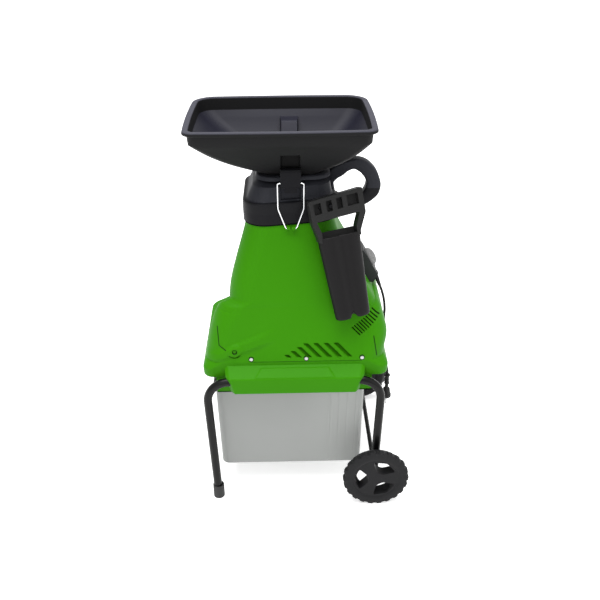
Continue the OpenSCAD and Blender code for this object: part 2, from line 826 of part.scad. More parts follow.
module foot_cap(y) {
    color(dark_grey) translate([0, y, 0]) difference() {
        translate([foot_x, 0, 0]) rotate_extrude() polygon(concat(
            [[0, 0]], arc(foot_cap_d / 2 - 5, 5, 5, -90, 0, 6),
            [[foot_cap_d / 2 - 0.5, foot_cap_h - 2], [foot_cap_d / 2 - 1.5, foot_cap_h], [0, foot_cap_h]]));
        at_foot_leg() translate([0, 0, foot_floor]) cylinder(d = tube_d + 2 * run_fit, h = foot_cap_h);
    }
}
module near_foot_cap() {
    foot_cap(-frame_y);
}
module far_foot_cap() {
    foot_cap(frame_y);
}

module leg_plugs() {
    color(black) for (y = [-frame_y, frame_y])
        translate([0, y, 0]) at_axle_leg() translate([0, 0, -leg_end]) {
            translate([0, 0, -4]) cylinder(d = tube_d, h = 4);
            cylinder(d = tube_d - 2 * tube_wall - 2 * run_fit, h = 10);
        }
}

clamp_x = [apron_x - 120, apron_x, apron_x + 120];
clamp_l = 26;
clamp_out_y = apron_y - apron_t - seat_gap;
clamp_low_z = frame_top - tube_d / 2 - 16;
clamp_screw_z = clamp_low_z + 7;
clamp_screw_d = 5;
clamp_head_d = 9;
clamp_head_h = 4;
module frame_clamps() {
    color(black) mirrored_y() for (x = clamp_x) difference() {
        box([x - clamp_l / 2, -clamp_out_y, clamp_low_z], [x + clamp_l / 2, -rail_out_y, frame_top + 8]);
        translate([x - clamp_l, -frame_y, frame_top]) rotate([0, 90, 0])
            cylinder(d = tube_d + 2 * run_fit, h = 2 * clamp_l);
        rod_y(x, -apron_y, 0, clamp_screw_z, clamp_screw_d + 2 * run_fit);
        rod_y(x, -apron_y, -clamp_out_y + clamp_head_h, clamp_screw_z, clamp_head_d + 2 * seat_gap);
    }
}

module clamp_screw_bores() {
    for (x = clamp_x)
        rod_y(x, -rail_out_y - 1, -rail_out_y + rail_t + 1, clamp_screw_z, clamp_screw_d + 2 * run_fit);
}

module clamp_screws() {
    color(steel) mirrored_y() for (x = clamp_x) {
        rod_y(x, -clamp_out_y, -clamp_out_y + clamp_head_h, clamp_screw_z, clamp_head_d);
        rod_y(x, -clamp_out_y, -rail_out_y + rail_t, clamp_screw_z, clamp_screw_d);
    }
}

// Wheels and axle

wheel_in_y = frame_y + tube_d / 2 + spacer_t;
wheel_out_y = wheel_in_y + wheel_w;
hub_w = wheel_w - 6;

// Outline of the wheel's three windows between its broad spokes
spoke_w = 46;
module wheel_windows() {
    difference() {
        circle(d = wheel_rim_d + 1);
        circle(d = hub_d + 18);
        for (a = [0:120:240]) rotate([0, 0, a]) translate([0, -spoke_w / 2]) square([wheel_d, spoke_w]);
    }
}

// The tread is full at the outer face and draws in behind it
tread_w = 14;
tread_drop = 30;
module rim() {
    back = -tread_drop / 2;
    rotate_extrude() polygon([
        [wheel_rim_d / 2 + back, 0], [wheel_d / 2 + back, 0], [wheel_d / 2, wheel_w - tread_w],
        [wheel_d / 2, wheel_w], [wheel_rim_d / 2, wheel_w], [wheel_rim_d / 2, wheel_w / 2],
        [wheel_rim_d / 2 + back, wheel_w / 2]]);
}

// One wheel, outer face towards -Y, axis through x = z = 0
module wheel_body() {
    lug_w = PI * wheel_d / lug_count * 0.36;
    rotate([90, 0, 0]) difference() {
        union() {
            rim();
            translate([0, 0, 6]) linear_extrude(height = wheel_w - 14) difference() {
                circle(d = wheel_rim_d + 2);
                wheel_windows();
            }
            cylinder(d = hub_d, h = hub_w);
        }
        for (i = [0:lug_count - 1]) rotate([0, 0, 360 / lug_count * i])
            translate([wheel_d / 2, 0, wheel_w]) cube([6, lug_w, 2 * tread_w - 4], center = true);
        translate([0, 0, -1]) cylinder(d = axle_d + 2 * run_fit, h = wheel_w + 2);
    }
}

module near_wheel() {
    color(black) translate([axle_x, -wheel_in_y, axle_z]) wheel_body();
}
module far_wheel() {
    color(black) mirror([0, 1, 0]) translate([axle_x, -wheel_in_y, axle_z]) wheel_body();
}

cap_t = 4;
axle_end_y = wheel_in_y + hub_w + cap_t;
module wheel_axle() {
    color(dark_grey) rod_y(axle_x, -axle_end_y, axle_end_y, axle_z, axle_d);
}

module washer_y(y0, y1, d) {
    difference() {
        rod_y(axle_x, y0, y1, axle_z, d);
        rod_y(axle_x, y0 - 1, y1 + 1, axle_z, axle_d + 2 * press);
    }
}

module axle_spacers() {
    color(steel) mirrored_y() washer_y(-wheel_in_y + seat_gap, -frame_y - tube_d / 2 - run_fit, tube_d);
}

module axle_caps() {
    color(steel) mirrored_y() washer_y(-axle_end_y, -axle_end_y + cap_t - seat_gap, hub_d * 0.55);
}

// Bin

flange_w = 5;
bin_top_d = 2 * (rail_out_y - rail_t - bin_gap - flange_w);
bin_d = bin_top_d - 2 * bin_lean;
bin_top_z = rail_z + rail_foot_t + seat_gap + 4;
bin_corner = 18;
bin_edge = 4;
function bin_outline(w, d, grow = 0) =
    [bin_x - w / 2 - grow, bin_x + w / 2 + grow, d / 2 + grow, d / 2 + grow, bin_corner + grow];
module collection_bin() {
    low = bin_outline(bin_w, bin_d);
    high = bin_outline(bin_top_w, bin_top_d);
    color(clear_grey) skin([
        ring(bin_z, inset(low, bin_edge)), ring(bin_z + bin_edge, low), ring(bin_top_z - 4, high),
        ring(bin_top_z - 4, grown(high, flange_w)), ring(bin_top_z, grown(high, flange_w)),
        ring(bin_top_z, inset(high, bin_wall)), ring(bin_z + 2 * bin_edge, inset(low, bin_wall)),
        ring(bin_z + bin_wall, inset(low, bin_edge + bin_wall))]);
}

// Latches

bail_low = 7;
bail_high = 31;
kink_z = 806;

// Point on a bail's plane at height z
function bail_y(z) = -mix(pivot_y, bar_y, (z - pivot_z) / (bar_z - pivot_z));
lug_t = 5;

module wire(a, b) {
    v = b - a;
    l = norm(v);
    translate(a) rotate([0, acos(v[2] / l), atan2(v[1], v[0])]) cylinder(d = wire_d, h = l);
    translate(b) sphere(d = wire_d + 0.2);
}

module bail() {
    foot = bail_low + lug_t / 2 + 3;
    color(steel) translate([latch_x, 0, 0]) {
        for (s = [-1, 1]) {
            wire([s * (bail_low - lug_t / 2 - 1), bail_y(pivot_z), pivot_z],
                [s * foot, bail_y(pivot_z), pivot_z]);
            wire([s * foot, bail_y(pivot_z), pivot_z], [s * bail_high, bail_y(kink_z), kink_z]);
            wire([s * bail_high, bail_y(kink_z), kink_z], [s * bail_high, bail_y(bar_z), bar_z]);
        }
        wire([-bail_high, bail_y(bar_z), bar_z], [bail_high, bail_y(bar_z), bar_z]);
    }
}
module near_bail() {
    bail();
}
module far_bail() {
    mirror([0, 1, 0]) bail();
}

module bail_lugs() {
    face = trunk_outline(pivot_z);
    for (s = [-1, 1]) translate([latch_x + s * bail_low - lug_t / 2, 0, pivot_z])
        rotate([90, 0, 90]) linear_extrude(height = lug_t) union() {
            translate([-pivot_y, 0]) circle(d = wire_d + 5);
            translate([-pivot_y, -wire_d / 2 - 2.5])
                square([pivot_y - mix(face[2], face[3], 0.55) + 2, wire_d + 5]);
        }
}

// Bore for a bail's wire along X at y and z
module wire_bore(y, z) {
    translate([latch_x - 60, -y, z]) rotate([0, 90, 0]) cylinder(d = wire_d + 2 * run_fit, h = 120);
}

lever_face_y = bar_y + 11;
lever_back_y = ledge_y + 1.5;
lip_h = 8;
lip_reach = 6;
lever_top_z = ledge_z + seat_gap + lip_h;
tongue_w = 29;
module latch_lever() {
    color(black) difference() {
        union() {
            translate([latch_x, 0, 0]) rotate([90, 0, 90]) linear_extrude(height = lever_w, center = true)
                polygon([[-lever_face_y + 4, lever_top_z], [-lever_face_y, lever_top_z - 6],
                    [-lever_face_y, bar_z - 6], [-lever_face_y + 3, bar_z - 9],
                    [-lever_back_y - 2, bar_z - 6], [-lever_back_y, ledge_z + seat_gap],
                    [-ledge_y + lip_reach, ledge_z + seat_gap], [-ledge_y - 1, lever_top_z]]);
            translate([latch_x, 0, 0]) rotate([90, 0, 90]) linear_extrude(height = tongue_w, center = true)
                polygon([[-lever_face_y, bar_z - 5], [-lever_face_y - 3, bar_z - 20],
                    [-lever_face_y + 1, bar_z - 20], [-lever_back_y - 3, bar_z - 5]]);
        }
        wire_bore(bar_y, bar_z);
    }
}
module near_latch_lever() {
    latch_lever();
}
module far_latch_lever() {
    mirror([0, 1, 0]) latch_lever();
}

// Plunger: hung by its grip on two pegs, leaning along the trunk's near corner

plunger_place = [82, -130, 742];
plunger_turn = [-17, -6.3, 14];
plunger_wall = 3;
plunger_taper = 0.82;

// Two round lobes side by side with a groove between them
module lobes(w, t) {
    r = t / 2;
    for (s = [-1, 1]) translate([s * (w / 2 - r * 1.05), 0]) scale([1.05, 1]) circle(r = r, $fn = 40);
    square([w - 2 * r, t * 0.82], center = true);
}

// Face view of the grip, with its window
module grip_face() {
    difference() {
        polygon([[-grip_left, grip_h - grip_rise], [grip_right, grip_h + grip_rise], [grip_right, 44],
            [plunger_w / 2, 0], [plunger_w / 2, -6], [-plunger_w / 2, -6], [-plunger_w / 2, 0],
            [-grip_left, 38]]);
        polygon([[-40, 14], [42, 14], [58, 46], [-50, 42]]);
    }
}

pocket_n = 4;
grip_t = 30;
grip_rise = 5;
module plunger_solid() {
    difference() {
        union() {
            mirror([0, 0, 1]) linear_extrude(height = plunger_l, scale = plunger_taper)
                lobes(plunger_w, plunger_t);
            rotate([90, 0, 0]) linear_extrude(height = grip_t, center = true) grip_face();
        }
        translate([0, 0, 1]) mirror([0, 0, 1]) linear_extrude(height = plunger_l - 6, scale = plunger_taper)
            lobes(plunger_w - 2 * plunger_wall, plunger_t - 2 * plunger_wall);
        for (i = [0:pocket_n - 1]) translate([mix(-44, 44, i / (pocket_n - 1)), -grip_t / 2, grip_h - 28])
            cube([16, 20, 26], center = true);
        translate([0, 0, -plunger_l]) rotate([90, 0, 0]) linear_extrude(height = 2 * plunger_t, center = true)
            polygon([[-9, -1], [9, -1], [0, 12]]);
    }
}

peg_places = [[38, 808], [64, 811]];
peg_root_y = -62;
peg_end_y = -122;
module plunger() {
    color(black) difference() {
        translate(plunger_place) rotate(plunger_turn) plunger_solid();
        for (p = peg_places) rod_y(p[0], peg_end_y - 1, 0, p[1], peg_d + 2 * seat_gap);
    }
}

// Switch and lead

// Side view of the switch box on the trunk's sloping wheel side: its face, then its back inside the wall
switch_face = [[154, 655], [194, 586], [184, 562]];
switch_back = [[150, 566], [128, 652]];
face_tilt = atan2(switch_face[0][1] - switch_face[1][1], switch_face[1][0] - switch_face[0][0]);
knob_place = mix(switch_face[0], switch_face[1], 0.48);
knob_h = 16;
stem_d = 8;
stem_l = 8;
contacts_size = [30, 38, 7];
contacts_z = -3;

module at_knob() {
    translate([knob_place[0], 0, knob_place[1]]) rotate([0, face_tilt, 0]) children();
}

module trunk_core() {
    skin([for (z = trunk_heights) ring(z, grown(trunk_outline(z), seat_gap))]);
}

// Block of contacts under the switch's face, larger all round by grow
module contacts_block(grow) {
    at_knob() translate([0, 0, contacts_z - contacts_size[2] / 2])
        cube(contacts_size + 2 * grow * [1, 1, 1], center = true);
}

module switch_blank() {
    rotate([90, 0, 0]) linear_extrude(height = switch_w, center = true)
        polygon(concat(switch_face, switch_back));
}

module switch_box() {
    color(dark_grey) difference() {
        switch_blank();
        trunk_core();
        contacts_block(seat_gap);
        at_knob() translate([0, 0, -stem_l]) cylinder(d = stem_d + 2 * run_fit, h = 2 * stem_l);
    }
}

module switch_contacts() {
    color(black) difference() {
        contacts_block(0);
        at_knob() translate([0, 0, -stem_l]) cylinder(d = stem_d + 2 * run_fit, h = 2 * stem_l);
    }
}

module switch_knob() {
    color(light_grey) at_knob() {
        translate([0, 0, seat_gap]) rotate_extrude() polygon(concat(
            [[0, 0], [knob_d / 2, 0], [knob_d / 2, 3]],
            [for (a = [10:10:90]) [knob_d / 2 * cos(a), 3 + (knob_h - 3) * sin(a)]]));
        translate([0, 0, seat_gap - stem_l]) cylinder(d = stem_d, h = stem_l);
    }
}

// Points that the lead follows, from its strain relief to the plug
cord_points = [[204, 0, 538], [210, 0, 523], [215, 0, 506], [219, 0, 486], [221, 0, 464], [220.5, 0, 442],
    [219.5, 0, 420], [219, 0, 398], [219.5, 0, 376], [221, 0, 354], [224, 0, 332], [228, 0, 310],
    [232, 0, 288], [236.5, 0, 270], [238, 0, 260], [238, 0, 250]];
cord_sides = 10;

function unit(v) = v / norm(v);
function cord_way(i) = unit(cord_points[min(i + 1, len(cord_points) - 1)] - cord_points[max(i - 1, 0)]);
module power_cord() {
    color(black) skin([for (i = [0:len(cord_points) - 1])
        let (w = cord_way(i), side = unit(cross([0, 1, 0], w)))
        [for (k = [0:cord_sides - 1]) let (a = 360 * k / cord_sides)
            cord_points[i] + cord_d / 2 * (cos(a) * side + sin(a) * [0, 1, 0])]]);
}

// Strain relief on the switch box's underside, tapering towards the lead
relief_root = mix(switch_face[1], switch_face[2], 0.45);
module strain_relief() {
    foot = [relief_root[0], 0, relief_root[1]];
    way = unit(cord_points[0] - foot);
    l = norm(cord_points[0] - foot);
    color(black) difference() {
        translate(foot) rotate([0, acos(way[2]), 0]) translate([0, 0, -8]) rotate_extrude() polygon([
            [0, 0], [8.5, 0], [8.5, 13], [6.5, 14], [cord_d / 2 + 1.2, l + 8], [0, l + 8]]);
        switch_blank();
    }
}

plug_top = cord_points[len(cord_points) - 1];
module plug_body() {
    color(black) translate(plug_top) mirror([0, 0, 1]) rotate_extrude() polygon([
        [0, 0], [cord_d / 2 + 5, 0], [cord_d / 2 + 5, 4], [cord_d / 2 + 2.5, 6], [cord_d / 2 + 3, 26],
        [cord_d / 2 + 4.5, 30], [cord_d / 2 + 1.5, 33], [cord_d / 2 + 1.5, 44], [plug_d / 2 - 4, 48],
        [plug_d / 2 - 2, plug_l - 12], [plug_d / 2, plug_l - 10], [plug_d / 2, plug_l], [0, plug_l]]);
}

pin_l = 19;
module plug_pins() {
    color(steel) for (s = [-1, 1])
        translate(plug_top + [0, s * pin_pitch / 2, -plug_l - pin_l]) cylinder(d = pin_d, h = pin_l);
}

// Small fasteners and the interlock

screw_x = [-137, 2, 143];
screw_z = trunk_z + 8;
screw_head_d = 9;
screw_head_h = 2.5;
module housing_screw_cuts() {
    for (x = screw_x)
        rod_y(x, -base_y - 2, -base_y + screw_head_h, screw_z, screw_head_d + 2 * seat_gap);
}

module housing_screws() {
    color(steel) mirrored_y() for (x = screw_x)
        rod_y(x, -base_y, -base_y + screw_head_h, screw_z, screw_head_d);
}

boss_place = [-178, 452];
boss_seat_y = -base_y + 6.5;
boss_screw_t = 2;
module boss_screw_cut() {
    rod_y(boss_place[0], -base_y, boss_seat_y, boss_place[1], screw_head_d);
}

module boss_screws() {
    color(steel) mirrored_y()
        rod_y(boss_place[0], boss_seat_y - boss_screw_t, boss_seat_y, boss_place[1], screw_head_d - 1);
}

// Interlock switch on the far rail, above the bin's flange
interlock_size = [24, 12, 18];
module bin_interlock() {
    color(black) translate([rail_x1 - 44, rail_out_y - rail_t - interlock_size[1], bin_top_z + 10])
        cube(interlock_size);
}

base_housing();
trunk_housing();
collar();
hopper();
feed_chute();
deck_plate();
deck_bolts();
motor_can();
motor_end_cap();
motor_bolts();
stator_core();
lower_bearing();
upper_bearing();
rotor_shaft();
rotor_core();
cooling_fan();
cutting_disc();
knife_blades();
blade_screws();
disc_nut();
near_frame_tube();
far_frame_tube();
near_foot_cap();
far_foot_cap();
leg_plugs();
frame_clamps();
clamp_screws();
wheel_axle();
near_wheel();
far_wheel();
axle_spacers();
axle_caps();
collection_bin();
near_bail();
far_bail();
near_latch_lever();
far_latch_lever();
plunger();
switch_box();
switch_contacts();
switch_knob();
strain_relief();
power_cord();
plug_body();
plug_pins();
housing_screws();
boss_screws();
bin_interlock();
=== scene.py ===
"""Looks of a garden shredder, built on its packed frame.

Shape formulas work in millimetres in the frame of the part, with the floor at z = 0.
Meshes are written in metres, and each piece stays at the origin.
"""

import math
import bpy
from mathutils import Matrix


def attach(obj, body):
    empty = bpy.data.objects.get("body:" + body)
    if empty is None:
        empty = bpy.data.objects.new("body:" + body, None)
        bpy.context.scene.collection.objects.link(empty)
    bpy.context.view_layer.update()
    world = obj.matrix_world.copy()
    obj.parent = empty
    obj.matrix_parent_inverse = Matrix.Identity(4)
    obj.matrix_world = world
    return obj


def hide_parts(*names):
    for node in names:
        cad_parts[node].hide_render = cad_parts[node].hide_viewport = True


bl_info = {
    "name": "Garden shredder",
    "version": (1, 0, 0),
    "blender": (4, 5, 0),
    "location": "View3D > Sidebar > Shredder",
    "description": "Builds the surfaces, materials and stage of a garden shredder",
    "category": "Object",
}

import bpy
import numpy as np
from mathutils import Matrix, Vector
from mathutils.geometry import tessellate_polygon

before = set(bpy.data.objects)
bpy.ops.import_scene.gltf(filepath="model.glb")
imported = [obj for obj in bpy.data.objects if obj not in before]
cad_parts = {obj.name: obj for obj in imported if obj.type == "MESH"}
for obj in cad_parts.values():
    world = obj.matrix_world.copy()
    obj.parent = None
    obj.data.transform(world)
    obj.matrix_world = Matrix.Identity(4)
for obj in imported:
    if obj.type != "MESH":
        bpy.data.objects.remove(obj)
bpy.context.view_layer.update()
MM = 0.001

# Places that several pieces share, in millimetres
# A plan holds its left and right end, the half depth at each, and its corner radius

BASE = np.array([-262.0, 213, 190, 190, 52])
WAIST = np.array([-192.0, 190, 190, 190, 70])
TOP = np.array([-143.0, 74, 122, 82, 48])
NECK = np.array([-103.0, 43, 65, 65, 30])
COLLAR_TOP = np.array([-112.0, 63, 88, 74, 40])
COLLAR_Z = 763.0
SKIRT_Z = 378.0
BOSS = np.array([-178.0, 452])
LOUVRE_Z, LOUVRE_W = 10.0, 12.0
LATCH_X = -31.0
LATCH_KNOTS = LATCH_X + np.array([-24.6, -24, -23.4, -20, -17.6, -17, -16.4, -8, 0, 8, 16.4, 17, 17.6, 20,
                                  23.4, 24, 24.6])
BAIL_Y, BAIL_Z = -121.0, 757.0
LEVER_Y, LEVER_Z = -110.0, 867.0


class ShredderShape(bpy.types.PropertyGroup):
    """Main sizes that the surfaces are drawn from."""

    tube_d: bpy.props.FloatProperty(
        name="Tube", description="Outside diameter of the frame tube", default=0.022, unit="LENGTH")
    frame_y: bpy.props.FloatProperty(
        name="Loop distance", description="Distance of a tube loop from the mid plane", default=0.207,
        unit="LENGTH")
    frame_top: bpy.props.FloatProperty(
        name="Loop height", description="Height of the tube's top run", default=0.375, unit="LENGTH")
    bend_r: bpy.props.FloatProperty(
        name="Bend", description="Bend radius of the tube on its axis", default=0.057, unit="LENGTH")
    foot_x: bpy.props.FloatProperty(
        name="Foot legs", description="X of the legs that end in feet", default=-0.24, unit="LENGTH")
    axle_x: bpy.props.FloatProperty(
        name="Axle", description="X of the axle", default=0.1845, unit="LENGTH")
    leg_lean: bpy.props.FloatProperty(
        name="Leg lean", description="Angle that the legs lean out by", default=math.radians(2.1),
        unit="ROTATION")
    wheel_d: bpy.props.FloatProperty(
        name="Wheel", description="Diameter of a wheel", default=0.175, unit="LENGTH")
    rim_z: bpy.props.FloatProperty(
        name="Rim height", description="Height of the hopper's rim", default=1.005, unit="LENGTH")
    hopper_w: bpy.props.FloatProperty(
        name="Rim length", description="Length of the hopper's rim", default=0.438, unit="LENGTH")
    hopper_d: bpy.props.FloatProperty(
        name="Rim depth", description="Depth of the hopper's rim", default=0.33, unit="LENGTH")
    hopper_x: bpy.props.FloatProperty(
        name="Rim centre", description="X of the middle of the rim", default=-0.053, unit="LENGTH")
    collar_top: bpy.props.FloatProperty(
        name="Collar top", description="Height of the collar's upper edge", default=0.874, unit="LENGTH")
    trunk_z: bpy.props.FloatProperty(
        name="Trunk foot", description="Height where the trunk meets the base", default=0.422, unit="LENGTH")
    trunk_top: bpy.props.FloatProperty(
        name="Trunk top", description="Height of the trunk's upper edge", default=0.8, unit="LENGTH")
    bin_floor: bpy.props.FloatProperty(
        name="Bin floor", description="Height of the bin's floor", default=0.072, unit="LENGTH")
    cord_d: bpy.props.FloatProperty(
        name="Lead", description="Diameter of the lead", default=0.007, unit="LENGTH")


class ShredderFinish(bpy.types.PropertyGroup):
    """Colours and gloss of the main materials."""

    green: bpy.props.FloatVectorProperty(
        name="Green", description="Colour of the housings", subtype="COLOR", size=3,
        default=(0.035, 0.219, 0.0))
    black: bpy.props.FloatVectorProperty(
        name="Black", description="Colour of the dark mouldings", subtype="COLOR", size=3,
        default=(0.007, 0.007, 0.0085))
    bin_tint: bpy.props.FloatVectorProperty(
        name="Bin", description="Colour of the milky bin", subtype="COLOR", size=3,
        default=(0.31, 0.32, 0.31))
    grain: bpy.props.FloatProperty(
        name="Grain", description="Strength of the moulded grain", subtype="FACTOR", min=0, max=1,
        default=0.12)


def size(name):
    """Size of that name, in millimetres."""
    return getattr(bpy.context.scene.shredder_shape, name) / MM


def opaque(color):
    """Colour with an alpha of one."""
    return (*color[:3], 1.0)


def tint(name):
    """Colour of that name."""
    return opaque(getattr(bpy.context.scene.shredder_finish, name))


# Surfaces

def smooth(v, low, high):
    """Smooth step: 0 below low, 1 above high, 3t^2 - 2t^3 between."""
    t = np.clip((v - low) / (high - low), 0, 1)
    return t * t * (3 - 2 * t)


def grid_faces(rows, cols, wrap=True, loop=False):
    """Quads of a grid; wrap joins its last column to its first, loop its last row to its first."""
    r = np.arange(rows if loop else rows - 1)[:, None]
    c = np.arange(cols if wrap else cols - 1)[None]
    low = r * cols
    high = (r + 1) % rows * cols
    side = (c + 1) % cols
    return np.stack([low + c, low + side, high + side, high + c], -1).reshape(-1, 4)


def patch(points, wrap=True, loop=False, ends=""):
    """Patch (points, faces) of a rows x cols x 3 grid; ends names the rows closed by a flat face."""
    rows, cols = points.shape[:2]
    faces = grid_faces(rows, cols, wrap, loop).tolist()
    if "first" in ends:
        faces.append(list(range(cols))[::-1])
    if "last" in ends:
        faces.append([(rows - 1) * cols + k for k in range(cols)])
    return points.reshape(-1, 3), faces


def joined(patches):
    """One patch made of several."""
    points, faces, start = [], [], 0
    for p, f in patches:
        points.append(p)
        faces += [[start + k for k in face] for face in f]
        start += len(p)
    return np.concatenate(points), faces


def moved(part, matrix):
    """Patch after a 4 x 4 transform in millimetres."""
    m = np.array(matrix)
    return part[0] @ m[:3, :3].T + m[:3, 3], part[1]


def flipped(part):
    """Patch mirrored in the mid plane y = 0, with its faces turned back outwards."""
    return part[0] * [1, -1, 1], [face[::-1] for face in part[1]]


def soften(path, radius, steps=4, measured=slice(None)):
    """Path whose inner corners are quadratic curves (1-t)^2 a + 2t(1-t) p + t^2 b.

    a and b lie radius away from corner p, or 0.45 of the span if that is shorter.
    """
    path = np.asarray(path, float)
    t = np.linspace(0, 1, steps + 1)[:, None]
    out = [path[:1]]
    for before, p, after in zip(path, path[1:], path[2:]):
        a, b = (p + (q - p) * min(0.45, radius / max(np.linalg.norm((q - p)[measured]), 1e-9))
                for q in (before, after))
        out.append((1 - t) ** 2 * a + 2 * t * (1 - t) * p + t ** 2 * b)
    return np.concatenate(out + [path[-1:]])


def plan_rings(levels, steps=12, sides=(40, 12, 40, 12), knots=None, near=1.0):
    """Rings through levels [z, xl, xr, yl, yr, r], as rounded four-sided plans.

    xl and xr are the ends, yl and yr the half depths at them, r the corner radius.
    The long sides turn by lean = atan2(yl - yr, xr - xl), and each arc is tangent to its two sides.
    steps is the number of spans of every corner, or of the four in turn.
    knots are x values that both long sides have a point at, on every ring.
    near is the share of r that the two near corners have.
    """
    z, xl, xr, yl, yr, far = (levels[:, k:k + 1] for k in range(6))
    lean = np.arctan2(yl - yr, xr - xl)
    steps = steps if isinstance(steps, tuple) else (steps,) * 4
    quarter, none = np.pi / 2, 0 * lean
    turns = [(2 * quarter + none, 3 * quarter + lean), (lean - quarter, none), (none, quarter - lean),
             (quarter - lean, 2 * quarter + none)]
    arcs = []
    for k, ((a0, a1), n) in enumerate(zip(turns, steps)):
        r = far * near if k < 2 else far
        along = r if k in (0, 3) else xr - xl - r
        cx, cy = xl + along, (yl - (r + along * np.sin(lean)) / np.cos(lean)) * (-1 if k < 2 else 1)
        a = a0 + (a1 - a0) * np.linspace(0, 1, n + 1)[None]
        arcs.append(np.stack([cx + r * np.cos(a), cy + r * np.sin(a)], -1))
    runs = []
    for k in range(4):
        a, b = arcs[k][:, -1:], arcs[(k + 1) % 4][:, :1]
        share = np.linspace(0, 1, sides[k] + 1)[None, 1:-1, None]
        if knots is not None and k % 2 == 0:
            x = np.asarray(knots, float)[:: 1 if k == 0 else -1]
            u = np.linspace(0, 1, sides[k] // 2 + 1)[1:-1]
            first = a[..., 0] + (x[0] - a[..., 0]) * u
            last = x[-1] + (b[..., 0] - x[-1]) * u
            along = np.concatenate([first, np.broadcast_to(x, (len(z), len(x))), last], 1)
            share = ((along - a[..., 0]) / (b[..., 0] - a[..., 0]))[..., None]
        runs += [arcs[k], a + (b - a) * share]
    xy = np.concatenate(runs, 1)
    return np.concatenate([xy, np.broadcast_to(z[..., None], xy.shape[:2] + (1,))], 2)


def inset(s, d):
    """Plan [xl, xr, yl, yr, r] moved in by d."""
    return np.array([s[0] + d, s[1] - d, s[2] - d, s[3] - d, max(s[4] - d, 2)])


def at(z, s):
    """Level of plan s at height z."""
    return np.concatenate([[z], s])


def levels_at(heights, levels):
    """Levels read off between others, at given heights."""
    return np.array([[np.interp(h, levels[:, 0], levels[:, k]) for k in range(6)] for h in heights])


def soft_levels(levels, radius, steps=4):
    """Levels with their corners rounded, measured by height and by the plan's left end."""
    return soften(np.array(levels), radius, steps, slice(0, 2))


def lathe(profile, turns=48):
    """Surface of revolution about z through profile rows [r, z]."""
    profile = np.asarray(profile, float)
    a = np.linspace(0, 2 * np.pi, turns, endpoint=False)
    r, z = profile[:, :1], profile[:, 1:]
    points = np.stack([r * np.cos(a), r * np.sin(a), z + 0 * a], -1)
    return patch(points, ends="first last")


def swept(path, section, across):
    """Tube along a path in a plane with normal across; section rows are [across, outwards]."""
    path = np.asarray(path, float)
    way = np.gradient(path, axis=0)
    way /= np.linalg.norm(way, axis=1, keepdims=True)
    across = np.broadcast_to(np.asarray(across, float), way.shape)
    out = np.cross(way, across)
    points = (path[:, None] + section[None, :, :1] * across[:, None] + section[None, :, 1:] * out[:, None])
    return patch(points[:, ::-1], ends="first last")


def disc(d, n=20):
    """Circle of diameter d as section rows."""
    a = np.linspace(0, 2 * np.pi, n, endpoint=False)
    return d / 2 * np.stack([np.cos(a), np.sin(a)], -1)


def prism(outer, holes, low, high, plane="xz"):
    """Plate between two parallel planes, from an outline and its holes, both counted either way."""
    loops = [np.asarray(p, float) for p in [outer, *holes]]
    turned = []
    for k, p in enumerate(loops):
        q = np.roll(p, -1, 0)
        area = np.sum(p[:, 0] * q[:, 1] - q[:, 0] * p[:, 1])
        turned.append(p if (area > 0) == (k == 0) else p[::-1])
    flat = np.concatenate(turned)
    n = len(flat)
    faces = []
    for tri in tessellate_polygon([[Vector((*p, 0)) for p in loop] for loop in turned]):
        a, b, c = flat[list(tri)]
        turn = (b[0] - a[0]) * (c[1] - a[1]) - (b[1] - a[1]) * (c[0] - a[0])
        tri = list(tri) if turn > 0 else list(tri)[::-1]
        faces += [[k + n for k in tri], tri[::-1]]
    start = 0
    for loop in turned:
        m = len(loop)
        faces += [[start + k, start + (k + 1) % m, n + start + (k + 1) % m, n + start + k] for k in range(m)]
        start += m
    u, v = np.tile(flat, (2, 1)).T
    w = np.repeat([low, high], n)
    axes = {"xz": (u, -w, v), "yz": (w, u, v), "xy": (u, v, w)}
    return np.stack(axes[plane], -1), faces


def block(low, high):
    """Box between its lowest and highest corner."""
    return prism([(low[0], low[1]), (high[0], low[1]), (high[0], high[1]), (low[0], high[1])], [],
                 low[2], high[2], "xy")


def rounded(points, radius, steps=4):
    """Closed outline with rounded corners."""
    p = np.asarray(points, float)
    ring = np.concatenate([p[-1:], p, p[:1]])
    return soften(ring, radius, steps)[1:-1]


def piece(name, parts, material, body, nodes, bevel=0.0, sharp=38):
    """Object of joined patches that rides on a body and stands for CAD nodes."""
    points, faces = joined(parts)
    mesh = bpy.data.meshes.new(name)
    mesh.from_pydata((points * MM).tolist(), [], faces)
    mesh.validate()
    mesh.shade_smooth()
    mesh.set_sharp_from_angle(angle=math.radians(sharp))
    mesh.materials.append(material)
    obj = bpy.data.objects.new(name, mesh)
    bpy.context.scene.collection.objects.link(obj)
    if bevel:
        edge = obj.modifiers.new("Edge", "BEVEL")
        edge.width = bevel * MM
        edge.segments = 3
        edge.limit_method = "ANGLE"
        edge.angle_limit = math.radians(30)
    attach(obj, body)
    if nodes:
        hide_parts(*nodes)
    return obj


# Materials

